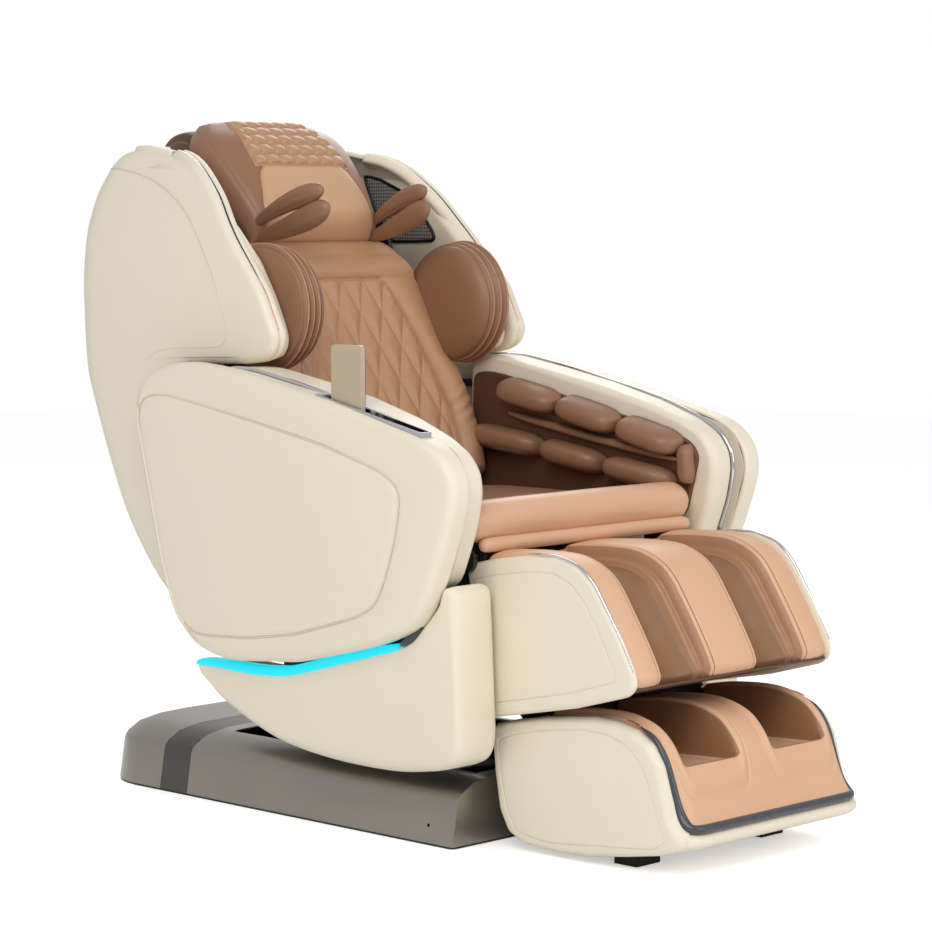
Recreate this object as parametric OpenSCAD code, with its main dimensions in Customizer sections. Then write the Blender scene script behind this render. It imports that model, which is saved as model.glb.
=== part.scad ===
// Reclining massage chair with a leg rest, a telescoping foot rest and side doors.
// Millimetres, +Z up, the occupant faces -Y. The origin is on the floor, on the centre
// plane, straight below the recline pivot.

/* [Base] */
// Width of the base at the floor
base_w = 622; // [600:2:680]
// Reach of the base in front of the origin
base_front = 463; // [440:1:480]
// Reach of the base behind the origin
base_rear = 500; // [480:1:540]
// Height of the base's side walls
base_wall_h = 93; // [86:1:98]
// Height of the base's crowned top
base_top = 118; // [112:1:122]
// Thickness of the moulded base covers
cover_wall = 3; // [2.5:0.1:4]
// Thickness of the steel ground plate
pan_t = 4; // [3:0.5:6]
// Start of the trim band across the base, measured behind the origin
band_y = 225; // [215:1:245]
// Width of the trim band
band_w = 75; // [60:1:85]
// Radius of the transport wheels
wheel_r = 30; // [26:1:32]

/* [Slide and tilt] */
// Distance between the two slide rails, centre to centre
rail_gauge = 300; // [280:2:320]
// Height of the rail section
rail_h = 22; // [18:1:24]
// Width of the rail section
rail_w = 20; // [16:1:24]
// Length of the rails
rail_len = 620; // [600:5:650]
// Forward travel of the carriage
slide_travel = 70; // [50:1:75]
// Height of the tilt shaft over the floor
tilt_z = 200; // [190:1:205]
// Radius of the tilt, recline and knee shafts
shaft_r = 12; // [10:0.5:13]

/* [Seat] */
// Half width of the seat cushion
seat_half = 262; // [256:1:264]
// Height of the top of the seat cushion
seat_top = 572; // [560:1:585]
// Height of the underside of the seat cushion
seat_under = 470; // [466:1:480]
// Height of the recline pivot over the floor
recline_z = 450; // [445:1:452]
// Distance of the knee axis in front of the origin
knee_y = 460; // [455:1:464]
// Height of the knee axis over the floor
knee_z = 555; // [550:1:560]
// Radius of the padded roll round the knee axis
roll_r = 37; // [32:1:40]
// Thickness of the frame plates
plate_t = 8; // [6:0.5:8]

/* [Sides] */
// Inner half width of the arm shells
arm_in = 275; // [275:1:278]
// Thickness of the doors over the crown
door_t = 48; // [46:1:50]
// Outer half width of the doors over the crown
door_out = 410; // [400:1:420]
// Wall of the moulded side shells
shell_wall = 4; // [3:0.5:5]
// Reach of the doors in front of the origin
door_front = 557; // [545:1:565]
// Height of the top of the doors
door_top = 812; // [800:1:820]
// Distance of the door hinge behind the origin
hinge_y = 190; // [182:1:196]
// Length of a remote control
remote_len = 142; // [130:1:146]
// Width of the remote control
remote_w = 74; // [66:1:80]
// Thickness of the remote control
remote_t = 13; // [10:0.5:14]

/* [Back] */
// Height of the top of the back shell
back_top = 1199; // [1180:1:1220]
// Reach of the back shell behind the origin
back_rear = 545; // [535:1:550]
// Lean of the back cushion from vertical
back_lean = 21; // [20:0.5:22]
// Distance between the massage guide rails, centre to centre
guide_gauge = 320; // [310:2:330]
// Travel of the massage carriage along its rails
massage_travel = 300; // [260:5:320]
// Thickness of the back cushion at its side bolsters
back_pad_t = 78; // [70:1:82]
// Half width of the head pillow
pillow_half = 172; // [160:1:180]
// Radius of a shoulder pad
shoulder_r = 112; // [104:1:116]
// Thickness of a shoulder pad
shoulder_t = 62; // [54:1:64]

/* [Legs] */
// Half width of the calf unit
calf_half = 265; // [262:1:267]
// Half width of one calf trough
trough_half = 64; // [58:1:68]
// Distance of a trough's middle from the centre plane
trough_x = 124; // [118:1:128]
// Depth of a calf trough
trough_depth = 52; // [40:1:56]
// Half width of the foot unit
foot_half = 240; // [230:1:246]
// Half width of one foot well
well_half = 75; // [68:1:80]
// Distance of a foot well's middle from the centre plane
well_x = 115; // [108:1:118]
// Radius of a foot massage roller
foot_roller_r = 24; // [20:1:26]
// Travel of the foot unit along the calf
foot_travel = 100; // [80:1:110]

/* [Hidden] */
$fn = 40;

fit = 0.05;         // running clearance of a shaft in its bore
gap = 0.3;          // clearance between neighbouring pieces
rail_x = rail_gauge / 2;
rail_z = 34;        // height of the rails' underside
rail_y0 = -395;     // front end of the rails
beam_z = rail_z + rail_h + 12;
post_x = 204;       // uprights that carry the tilt shaft
frame_x = 236;      // side plates of the seat frame
upright_x = 224;    // uprights of the back frame
knee_arm_x = 248;   // side arms of the calf frame
door_in = door_out - door_t;    // inner face of the doors
arm_out = door_in - 11;         // outer face of the arm shells
lower_out = door_in + 8;        // outer face of the lower side shells
pivot = [0, recline_z];
knee = [-knee_y, knee_z];
motor_pin = [-230, 300];    // seat cross tube that carries two actuators
shell_bar = [-395, 250];    // cross bar that carries the lower side shells
arm_z = 440;                // underside of the arm shells
arm_rest_z = arm_z + 5 + shell_wall + gap;  // top of the rims that lie on their carriers
tilt_foot = [-340, 115];    // lower pin of the tilt actuator
tilt_head = [-380, 430];    // upper pin of the tilt actuator
recline_pin = [60, 330];    // lever pin of the back frame
legrest_pin = [-480, 440];  // lever pin of the calf frame
lining_x = seat_half + 4 + 2 * gap;    // inner face of the arm linings
back_half = round(lining_x + (door_in - lining_x) * 2 / 3);    // half width of the back shell
tilt_x = 78;
recline_x = -78;

cream = [0.90, 0.86, 0.78];
tan = [0.87, 0.70, 0.57];
brown = [0.60, 0.43, 0.32];
steel = [0.35, 0.36, 0.38];
champagne = [0.60, 0.57, 0.52];

// ---- shapes shared by many pieces ----

function unit(v) = v / norm(v);
function xy(c) = [c[0], c[1]];

// Arc of steps + 1 points that rounds the corner b between a and c
function fillet(a, b, c, r, steps) =
    let (u = unit(a - b), v = unit(c - b), half = acos(max(-1, min(1, u * v))) / 2,
        t = min(r / tan(half), 0.46 * norm(a - b), 0.46 * norm(c - b)),
        m = b + unit(u + v) * t / cos(half),
        p = b + u * t - m, q = b + v * t - m,
        a0 = atan2(p[1], p[0]), d = atan2(q[1], q[0]) - a0,
        turn = d > 180 ? d - 360 : (d < -180 ? d + 360 : d))
    [for (i = [0:steps]) m + norm(p) * [cos(a0 + turn * i / steps), sin(a0 + turn * i / steps)]];

// Closed anticlockwise outline whose corners [y, z, radius] are rounded
function rounded(c, steps = 4) = let (n = len(c), p = [for (i = [0:n - 1]) each
        fillet(xy(c[(i + n - 1) % n]), xy(c[i]), xy(c[(i + 1) % n]), c[i][2], steps)])
    turns(p) > 0 ? p : reverse(p);
function turns(p, i = 0) = let (n = len(p)) i == n ? 0
    : cross(p[i], p[(i + 1) % n]) + turns(p, i + 1);
function reverse(v) = [for (i = [len(v) - 1:-1:0]) v[i]];

// Outline of an anticlockwise ring drawn inwards by d
function inset(p, d) = let (n = len(p))
    [for (i = [0:n - 1]) let (t = unit(p[(i + 1) % n] - p[(i + n - 1) % n]))
        p[i] + d * [-t[1], t[0]]];

// Ring in the plane x: the outline drawn in by d, then towards c by the share k
function ring(p, x, d, k, c) = [for (q = inset(p, d)) [x, each q + (c - q) * k]];

// Closed solid through rings of equally many points
module loft(rings) {
    n = len(rings[0]);
    m = len(rings);
    sides = [for (j = [0:m - 2]) for (i = [0:n - 1])
        let (a = j * n + i, b = j * n + (i + 1) % n)
        each [[a, a + n, b + n], [a, b + n, b]]];
    polyhedron([for (r = rings) each r], concat(sides,
        [[for (i = [0:n - 1]) i]], [[for (i = [n - 1:-1:0]) (m - 1) * n + i]]));
}

// Dished panel open towards the centre plane. Stations [x, inset, share] run outwards.
module dish(p, c, stations, wall) {
    last = len(stations) - 1;
    inner = [for (i = [last:-1:0]) let (s = stations[i])
        ring(p, s[0] - (i == 0 ? 0 : wall), s[1] + wall, s[2], c)];
    loft(concat(inner, [for (s = stations) ring(p, s[0], s[1], s[2], c)]));
}

// Crowned pad on a flat underside: top(u, v) gives its points, tuck draws the rim in below
module cushion(nu, nv, top, tuck = 0.96) {
    upper = [for (j = [0:nv]) for (i = [0:nu]) top(i / nu, j / nv)];
    rim = rim_of(nu, nv);
    n = len(upper);
    k = len(rim);
    lower = [for (r = rim) [upper[r][0] * tuck, upper[r][1] * tuck, 0]];
    polyhedron(concat(upper, lower, [[0, 0, 0]]), concat(cells(nu, nv, 0),
        [for (i = [0:k - 1]) let (b = (i + 1) % k)
            each [[n + i, rim[i], rim[b]], [n + i, rim[b], n + b], [n + i, n + b, n + k]]]));
}

// Closed pad between two surfaces over the same grid
module pad(nu, nv, top, under) {
    n = (nu + 1) * (nv + 1);
    rim = rim_of(nu, nv);
    k = len(rim);
    polyhedron(concat([for (j = [0:nv]) for (i = [0:nu]) top(i / nu, j / nv)],
        [for (j = [0:nv]) for (i = [0:nu]) under(i / nu, j / nv)]),
        concat(cells(nu, nv, 0), [for (f = cells(nu, nv, n)) [f[0], f[2], f[1]]],
        [for (i = [0:k - 1]) let (a = rim[i], b = rim[(i + 1) % k])
            each [[n + a, a, b], [n + a, b, n + b]]]));
}
function rim_of(nu, nv) = concat([for (i = [0:nu]) i],
    [for (j = [1:nv]) j * (nu + 1) + nu], [for (i = [nu - 1:-1:0]) nv * (nu + 1) + i],
    [for (j = [nv - 1:-1:1]) j * (nu + 1)]);
function cells(nu, nv, o) = [for (j = [0:nv - 1]) for (i = [0:nu - 1])
    let (a = o + j * (nu + 1) + i, d = a + nu + 1) each [[a, d, d + 1], [a, d + 1, a + 1]]];

// Bulge that is 1 in the middle of 0..1 and falls to 0 at both ends
function bulge(t, p = 2) = pow(max(0, 1 - pow(abs(2 * t - 1), p)), 1 / p);
function mix(a, b, t) = a + (b - a) * t;
module both() {
    children();
    mirror([1, 0, 0]) children();
}
// Flat plate in the YZ plane from x to x + t
module plate(outline, x, t) {
    translate([x, 0, 0]) rotate([90, 0, 90]) linear_extrude(t) polygon(outline);
}
// Round bar along X between two half widths, centred on [y, z]
module bar(p, r, x0, x1) {
    translate([x0, p[0], p[1]]) rotate([0, 90, 0]) cylinder(r = r, h = x1 - x0);
}
// Round bar between two points
module rod(a, b, r) {
    d = b - a;
    translate(a) rotate([0, acos(d[2] / norm(d)), atan2(d[1], d[0])])
        cylinder(r = r, h = norm(d));
}

// ---- base ----

base_plan = rounded([[-base_front, -base_w / 2, 14], [base_rear, -base_w / 2, 125],
    [base_rear, base_w / 2, 125], [-base_front, base_w / 2, 14]], 6);
window = [tilt_foot[0] - 22 - slide_travel, 190, 222];   // opening: front, rear, half width
rear_r = 125;                // radius of the rear corners in plan
floor_gap = pan_t + gap;

// Half of the cover's section at half width w and top height h: drafted wall, soft shoulder
function cover_line(w, h, wall_h) = [[w, floor_gap], [w - 12, wall_h - 16], [w - 15, wall_h - 7],
    [w - 22, wall_h], [w - 50, mix(wall_h, h, 0.6)], [w - 100, mix(wall_h, h, 0.92)],
    [w - 170, h]];
// Closed channel section; shut fills it, as an end wall does
function channel(w, h, wall_h, shut = false) = let (o = cover_line(w, h, wall_h),
    i = [for (p = cover_line(w - cover_wall, h - cover_wall, wall_h - cover_wall))
        shut ? [p[0], floor_gap + 0.01 * (p[1] - floor_gap)] : p])
    concat(o, [for (p = reverse(o)) [-p[0], p[1]]], [for (p = i) [-p[0], p[1]]], reverse(i));
module cover_run(y0, y1) {
    translate([0, y1, 0]) rotate([90, 0, 0]) linear_extrude(y1 - y0)
        polygon(channel(base_w / 2, base_top, base_wall_h));
}
module base_pan() {
    color(steel) linear_extrude(pan_t) polygon([for (q = inset(base_plan, 2)) [q[1], q[0]]]);
}
module base_front_cover() {
    w = base_w / 2;
    color(champagne) difference() {
        union() {
            cover_run(-base_front + 4, band_y - 0.5);
            // front wall
            translate([0, -base_front + 4, 0]) rotate([90, 0, 0]) linear_extrude(4)
                polygon(concat(cover_line(w, base_top, base_wall_h),
                    [for (p = reverse(cover_line(w, base_top, base_wall_h))) [-p[0], p[1]]]));
        }
        translate([-window[2], window[0], base_wall_h - 30])
            cube([2 * window[2], window[1] - window[0], 80]);
        both() bar([-base_front + 62, 34], 3.2, w - 30, w + 1);
    }
}
module base_rear_cover() {
    y0 = band_y + band_w + 0.5;
    yc = base_rear - rear_r;
    steps = 7;
    // stations [y, half width, share of the height kept]
    run = concat([[y0, base_w / 2, 1]], [for (i = [0:steps - 1]) let (a = 80 * i / (steps - 1))
        [yc + (rear_r - 4) * sin(a), base_w / 2 - rear_r * (1 - cos(a)), 1 - 0.18 * pow(i
            / (steps - 1), 3)]]);
    last = run[len(run) - 1];
    color(champagne) difference() {
        loft(concat([for (r = run) cover_ring(r, false)], [cover_ring(last + [0.5, 0, 0], true),
            cover_ring([base_rear, last[1] - 6, last[2] - 0.04], true)]));
        translate([-60, base_rear - 30, 24]) cube([120, 40, 44]);
    }
}
function cover_ring(r, shut) = [for (p = reverse(channel(r[1], base_top * r[2], base_wall_h * r[2],
    shut))) [p[0], r[0], p[1]]];
module base_band() {
    color([0.45, 0.45, 0.46]) cover_run(band_y, band_y + band_w);
}

// ---- slide, wheels and power ----

crossbar_y = [rail_y0 + 25, -60, rail_y0 + rail_len - 25];
axle_y = base_rear - 95;
box_y = [rail_y0 + rail_len + 30, base_rear - 55];
module slide_rails() {
    color("silver") both() translate([rail_x - rail_w / 2, rail_y0, rail_z])
        cube([rail_w, rail_len, rail_h]);
}
module base_crossbars() {
    color(steel) {
        for (y = crossbar_y) translate([-rail_x - 40, y - 20, pan_t])
            cube([2 * rail_x + 80, 40, rail_z - pan_t]);
        // brackets and axle of the transport wheels
        both() for (x = [196, 244]) difference() {
            translate([x, axle_y - 16, pan_t]) cube([6, 32, 48]);
            bar([axle_y, wheel_r + 7], 7.5, x - 1, x + 7);
        }
        both() bar([axle_y, wheel_r + 7], 7.5, 190, 256);
    }
}
module transport_wheels() {
    color([0.1, 0.1, 0.1]) both() translate([205, axle_y, wheel_r + 7]) rotate([0, 90, 0])
        difference() {
            cylinder(r = wheel_r, h = 36, $fn = 64);
            translate([0, 0, -1]) cylinder(r = 7.5 + fit, h = 38);
        }
}
module power_box() {
    color([0.16, 0.16, 0.17]) difference() {
        union() {
            translate([-90, box_y[0], pan_t]) cube([180, box_y[1] - box_y[0], 62]);
            translate([-56, box_y[1] - 1, 27]) cube([112, base_rear - 7 - box_y[1], 38]);
        }
        // mains inlet and the seat of the power switch
        translate([-46, base_rear - 26, 33]) cube([30, 20, 24]);
        translate([14, base_rear - 26, 34]) cube([28, 20, 22]);
    }
}
module power_switch() {
    color([0.55, 0.06, 0.05]) translate([28, base_rear - 16, 45]) rotate([0, 90, 0])
        union() {
            linear_extrude(height = 26, center = true) polygon([[-9, 0], [9, 0], [9, 5],
                [0, 9.5], [-9, 7]]);
            cylinder(r = 2, h = 28 - 2 * gap, center = true);
        }
}
slide_motor_y = [60, crossbar_y[2] + 20];
module slide_motor() {
    color([0.2, 0.2, 0.22]) difference() {
        union() {
            translate([0, slide_motor_y[0], 50]) rotate([-90, 0, 0])
                cylinder(r = 15, h = slide_motor_y[1] - slide_motor_y[0]);
            translate([-28, slide_motor_y[1] - 45, rail_z]) cube([56, 50, 34]);
        }
        translate([0, slide_motor_y[0] - 1, 50]) rotate([-90, 0, 0])
            cylinder(r = 9 + gap, h = slide_motor_y[1] - slide_motor_y[0] - 12);
    }
}
module slide_rod() {
    color("silver") translate([0, -70, 50]) rotate([-90, 0, 0])
        cylinder(r = 9, h = 240);
    color("silver") difference() {
        translate([-14, -84, 38]) cube([28, 20, beam_z - 38]);
        translate([-20, -64, 30]) cube([40, 10, 8]);
    }
}

// ---- carriage ----

module carriage_frame() {
    color(steel) {
        both() {
            // side beams on runners that straddle the rails
            translate([rail_x - 20, -360, beam_z]) cube([40, 470, 26]);
            for (y = [-350, 40]) difference() {
                translate([rail_x - rail_w / 2 - 9, y, rail_z + 6])
                    cube([rail_w + 18, 60, beam_z - rail_z - 6]);
                translate([rail_x - rail_w / 2 - gap, y - 1, rail_z - 1])
                    cube([rail_w + 2 * gap, 62, rail_h + 1 + gap]);
            }
            // uprights with their foot plates, and the tilt shaft
            translate([rail_x + 20, -34, beam_z]) cube([post_x + 4 - rail_x - 20, 68, 8]);
            plate([[-34, beam_z], [34, beam_z], [20, tilt_z + 16], [-20, tilt_z + 16]],
                post_x - plate_t / 2, plate_t);
        }
        for (y = [-100, 80]) translate([-rail_x, y, beam_z]) cube([2 * rail_x, 30, 26]);
        bar([0, tilt_z], shaft_r, -frame_x - 10, frame_x + 10);
        // lower pin of the tilt actuator between two ears
        translate([-rail_x, tilt_foot[0] - 32, beam_z]) cube([2 * rail_x, 26, 26]);
        for (x = [-24, 16]) difference() {
            translate([tilt_x + x, tilt_foot[0] - 16, beam_z]) cube([8, 32,
                tilt_foot[1] + 14 - beam_z]);
            bar(tilt_foot, 6, tilt_x + x - 1, tilt_x + x + 9);
        }
        bar(tilt_foot, 6, tilt_x - 24, tilt_x + 24);
    }
}

// ---- actuators: a tube with its motor, and a rod whose end has a large eye ----

eye_slack = [2.3, 3.2, 7.8];   // play of the open pin: tilt, recline, leg rest
// Turns a shape built along +Y from the pin a so that it points at the pin b
module aim(a, b, x) {
    translate([x, a[0], a[1]]) rotate([atan2(b[1] - a[1], b[0] - a[0]), 0, 0]) children();
}
module actuator_tube(a, b, x, len, pin_r) {
    color([0.2, 0.2, 0.22]) aim(a, b, x) difference() {
        union() {
            rotate([0, 90, 0]) cylinder(r = pin_r + 6, h = 24, center = true);
            translate([-9, 0, -10]) cube([18, 34, 20]);
            translate([0, 30, 0]) rotate([-90, 0, 0]) cylinder(r = 16, h = len - 30);
            // gearbox and motor alongside
            translate([-15, 30, -48]) cube([30, 38, 48]);
            translate([0, 62, -33]) rotate([-90, 0, 0]) cylinder(r = 14.5, h = 62);
        }
        rotate([0, 90, 0]) cylinder(r = pin_r + fit, h = 40, center = true);
        translate([0, 46, 0]) rotate([-90, 0, 0]) cylinder(r = 9 + gap, h = len);
    }
}
module actuator_rod(a, b, x, start, pin_r, slack) {
    reach = norm(b - a);
    color("silver") aim(a, b, x) difference() {
        union() {
            translate([0, start, 0]) rotate([-90, 0, 0])
                cylinder(r = 9, h = reach - start - pin_r - slack);
            translate([0, reach, 0]) rotate([0, 90, 0])
                cylinder(r = pin_r + slack + 6, h = 16, center = true);
        }
        translate([0, reach, 0]) rotate([0, 90, 0])
            cylinder(r = pin_r + slack, h = 40, center = true);
    }
}
module tilt_tube() actuator_tube(tilt_foot, tilt_head, tilt_x, 215, 6);
module tilt_rod() actuator_rod(tilt_foot, tilt_head, tilt_x, 70, shaft_r, eye_slack[0]);
module recline_tube() actuator_tube(motor_pin, recline_pin, recline_x, 165, shaft_r);
module recline_rod() actuator_rod(motor_pin, recline_pin, recline_x, 130, 7, eye_slack[1]);
module legrest_tube() actuator_tube(motor_pin, legrest_pin, 0, 200, shaft_r);
module legrest_rod() actuator_rod(motor_pin, legrest_pin, 0, 60, 7, eye_slack[2]);

// ---- seat ----

module seat_frame() {
    cheek = rounded([[34, tilt_z - 34, 22], [34, recline_z + 18, 16], [-34, recline_z + 18, 16],
        [-60, seat_under - 12, 30], [-knee_y + 40, seat_under - 12, 20],
        [-knee_y + 34, knee_z + 20, 16], [-knee_y - 22, knee_z + 20, 20],
        [-knee_y - 2, seat_under - 30, 30], [-430, 330, 30],
        [shell_bar[0] - 20, shell_bar[1] - 22, 20], [shell_bar[0] + 22, shell_bar[1] - 22, 20],
        [motor_pin[0], motor_pin[1] - 40, 40]]);
    color(steel) {
        both() difference() {
            plate(cheek, frame_x - plate_t / 2, plate_t);
            bar([0, tilt_z], shaft_r + fit, frame_x - 10, frame_x + 10);
        }
        bar(pivot, shaft_r, -frame_x, frame_x);
        bar(knee, shaft_r, -262, 262);
        bar(motor_pin, shaft_r, -frame_x, frame_x);
        bar(tilt_head, shaft_r, -frame_x, frame_x);
        // arms that carry the side shells
        bar(shell_bar, 10, -lower_out + shell_wall + gap, lower_out - shell_wall - gap);
        for (y = [-345, -150]) translate([12 - arm_out, y, arm_rest_z])
            cube([2 * (arm_out - 12), 24, 10]);
        // rails and slats under the cushion
        for (y = [-400, -290, -170, -60]) translate([-frame_x, y, seat_under - 14])
            cube([2 * frame_x, 34, 14 - gap]);
    }
}

module seat_cushion() {
    len = knee_y - 42 - 30;
    thick = seat_top - seat_under;
    top = function (u, v) let (b = bulge(v, 4), a = bulge(u, 5))
        [(2 * u - 1) * (seat_half - 7 * (1 - b)), (v - 0.5) * len - 5 * (1 - a) * (0.5 - v),
            thick * (0.5 + 0.5 * min(a, 1) * b) - 5 * exp(-pow((abs(u - 0.5) - 0.34) / 0.03, 2))];
    color(brown) translate([0, -30 - len / 2, seat_under]) cushion(20, 8, top, 0.985);
}
module seat_roll() {
    half = upright_x - 2;
    color(tan) translate([0, knee[0], knee[1]]) rotate([0, 90, 0]) rotate_extrude($fn = 48)
        polygon([[shaft_r + fit, -half], [roll_r - 5, -half], [roll_r - 1, -half + 5],
            [roll_r, -half + 14], [roll_r, half - 14], [roll_r - 1, half - 5], [roll_r - 5, half],
            [shaft_r + fit, half]]);
}
module knee_flap() {
    color(tan) bar([-knee_y - 0.64 * (roll_r + 8.3), knee_z - 0.77 * (roll_r + 8.3)], 8,
        -222, 222);
}
module knee_boots() {
    color([0.05, 0.05, 0.05]) both() bar([-knee_y + 8, knee_z - 60], 27.6, calf_half + 0.5,
        arm_in - gap);
}

// ---- sides ----

lower_side = rounded([[-536, 165, 26], [-440, 137, 120], [-285, 124, 200], [-60, 152, 160],
    [60, 196, 90], [140, 270, 10], [-90, 268, 200], [-410, 350, 60], [-490, 426, 24],
    [-494, 458, 14], [-526, 458, 14], [-531, 310, 60]], 3);
module lower_shells() {
    color(cream) both() dish(lower_side, [-400, 250], [[arm_in + 3, 3, 0], [arm_in + 14, 0, 0],
        [lower_out - 26, 0, 0], [lower_out - 9, 5, 0], [lower_out - 2, 12, 0.02],
        [lower_out, 12, 0.12]], shell_wall);
}
module light_strips() {
    on = [for (i = [0:len(lower_side) - 1]) if (lower_side[i][0] > -408 && lower_side[i][0] < 130
        && lower_side[i][1] > 255) i];
    lo = inset(lower_side, -gap);
    hi = inset(lower_side, -9);
    color([0, 0.8, 0.9]) both() plate(concat([for (i = on) lo[i]], reverse([for (i = on)
        hi[i]])), lower_out - 26, 22);
}
post_z = [560, 750];     // ends of the hinge post
lug_t = 14;
module door_posts() {
    x0 = arm_out + gap;
    x1 = door_in - 4.5 - 0.8;
    color(steel) both() {
        translate([door_in + 8, hinge_y, post_z[0]]) cylinder(r = 8, h = post_z[1] - post_z[0]);
        // straps along the arm shell, with a lug round each end of the post
        for (z = [post_z[0], post_z[1] - lug_t]) {
            translate([x0, -230, z]) cube([x1 - x0, hinge_y + 238, lug_t]);
            translate([x0, hinge_y - 8, z]) cube([door_in + 8 - x0, 16, lug_t]);
            translate([door_in + 8, hinge_y, z]) cylinder(r = 8, h = lug_t);
        }
    }
}

arm_side = rounded([[-530, 616, 30], [-519, 560, 60], [-478, arm_z + 12, 12], [-440, arm_z, 12],
    [20, arm_z, 40], [62, 560, 60], [62, 804, 12], [-11, 803, 200], [-137, 781, 200],
    [-254, 760, 200], [-373, 729, 200], [-489, 689, 40]]);
module arm_shells() {
    color(cream) both() dish(arm_side, [-290, 590], [[arm_in, 5, 0], [arm_in + 6, 0, 0],
        [arm_out - 6, 0, 0], [arm_out, 5, 0]], shell_wall);
}
module arm_trims() {
    strip = rounded([[-558 + 23, 614, 30], [-500, 500, 10], [-497, 500, 2], [-528, 612, 30],
        [-503, 676, 60], [-400, 716, 100], [-398, 720, 2], [-508, 685, 60]]);
    color("silver") both() plate(strip, arm_out + gap, door_in - arm_out - 4.5 - 2 * gap);
}
module arm_linings() {
    panel = rounded([[-500, 640, 30], [-470, 523, 20], [10, 523, 30], [46, 600, 40],
        [46, 776, 12], [-36, 770, 60], [-424, 684, 60], [-480, 664, 30]]);
    color([0.3, 0.17, 0.09]) both() plate(panel, lining_x, 7.5);
}
// one air cell of the arm massage: a plump bar that follows the arm's slope
module arm_cell(y0, y1, z0, z1, h, t) {
    top = function (u, v) [(0.5 - v) * h * (0.82 + 0.18 * bulge(u, 2.5)),
        (u - 0.5) * (y1 - y0), t * (0.35 + 0.65 * bulge(u, 4) * bulge(v, 3))];
    slope = atan2(z1 - z0, y1 - y0);
    color(brown) translate([lining_x - gap, (y0 + y1) / 2, (z0 + z1) / 2]) rotate([slope, 0, 0])
        rotate([0, -90, 0]) cushion(6, 5, top, 0.96);
}
upper_cells = [[-462, -335, 670, 698], [-329, -193, 699, 724], [-187, -40, 725, 744]];
lower_cells = [[-446, -305, 608, 622], [-299, -155, 623, 642], [-149, -40, 643, 655]];
module arm_pads() {
    both() {
        for (c = upper_cells) arm_cell(c[0], c[1], c[2] - 12, c[3] - 12, 46, 46);
        for (c = lower_cells) arm_cell(c[0], c[1], c[2] - 14, c[3] - 14, 46, 50);
    }
}

// ---- doors ----

door_side = rounded([[-door_front, 618, 60], [-door_front + 36, 497, 60], [-470, 398, 60],
    [-346, 343, 80], [-60, 286, 160], [60, 286, 60], [150, 340, 70], [200, 480, 160],
    [258, 760, 40], [150, door_top, 60], [-30, door_top - 14, 160],
    [-300, door_top - 62, 200], [-door_front + 30, 690, 60]]);
door_c = [-150, 560];
pocket = [-466, -218];     // front and rear end of the remote's pocket
pocket_x = door_in + 17;    // middle of the pocket
remote_pin = [-284, 728];
door_run = [[door_in, 4, 0], [door_in + 14, 0, 0], [door_out - 16, 0, 0],
    [door_out - 7, 5, 0], [door_out - 3, 14, 0.02], [door_out, 14, 0.3]];
module pocket_cut(grow) {
    translate([pocket_x - remote_t / 2 - 4 - grow, pocket[0] - grow, 620])
        cube([remote_t + 8 + 2 * grow, pocket[1] - pocket[0] + 2 * grow, 220]);
}
module door_left() {
    color(cream) dish(door_side, door_c, door_run, shell_wall);
}
module door_right() {
    color(cream) mirror([1, 0, 0]) difference() {
        dish(door_side, door_c, door_run, shell_wall);
        intersection() {
            pocket_cut(3 + gap);
            translate([300, -600, 690]) cube([100, 600, 200]);
        }
    }
}
module door_liner() {
    panel = inset(door_side, 5);
    z0 = post_z[0] + lug_t + gap;
    z1 = post_z[1] - lug_t - gap;
    difference() {
        union() {
            plate(panel, door_in - 4 - gap, 4);
            translate([door_in + 8, hinge_y, z0]) cylinder(r = 13, h = z1 - z0);
            translate([door_in - 1, hinge_y - 13, z0]) cube([9, 26, z1 - z0]);
        }
        translate([door_in + 8, hinge_y, z0 - 1]) cylinder(r = 8 + fit, h = z1 - z0 + 2);
        // windows for the two lugs
        for (z = [post_z[0], post_z[1] - lug_t]) translate([door_in - 20, hinge_y - 24, z - 6])
            cube([40, 90, lug_t + 6 + (z == post_z[0] ? gap : 6)]);
    }
}
module door_liner_left() {
    color([0.85, 0.81, 0.73]) door_liner();
}
module door_liner_right() {
    color([0.85, 0.81, 0.73]) mirror([1, 0, 0]) door_liner();
}
module remote_dock() {
    color([0.7, 0.7, 0.72]) mirror([1, 0, 0]) bar(remote_pin, 3, pocket_x - remote_t / 2 - 5,
        pocket_x + remote_t / 2 + 5);
    color([0.7, 0.7, 0.72]) mirror([1, 0, 0]) difference() {
        intersection() {
            pocket_cut(2.7);
            plate([[-480, 636], [-200, 660], [-200, 772], [-480, 712]], door_in, 60);
        }
        difference() {
            pocket_cut(0);
            // floor of the pocket
            plate([[-480, 600], [-200, 600], [-200, 672], [-480, 648]], door_in, 60);
        }
    }
}
module remote_case() {
    color(champagne) mirror([1, 0, 0]) difference() {
        translate([pocket_x - remote_t / 2 + 3, 0, 0]) rotate([90, 0, 90])
            linear_extrude(remote_t - 3) translate([remote_pin[0] - remote_w / 2,
                remote_pin[1] - 8]) rounded_rect(remote_w, remote_len - 8, 7);
        bar(remote_pin, 3 + gap, pocket_x - 20, pocket_x + 20);
    }
}
module remote_screen() {
    color([0.05, 0.07, 0.14]) mirror([1, 0, 0]) translate([pocket_x - remote_t / 2, 0, 0])
        rotate([90, 0, 90]) linear_extrude(3) translate([remote_pin[0] - remote_w / 2 + 2,
            remote_pin[1] + 6]) rounded_rect(remote_w - 4, remote_len - 24, 5);
}
module rounded_rect(w, h, r) {
    hull() for (x = [r, w - r]) for (y = [r, h - r]) translate([x, y]) circle(r = r);
}

// ---- back ----

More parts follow.
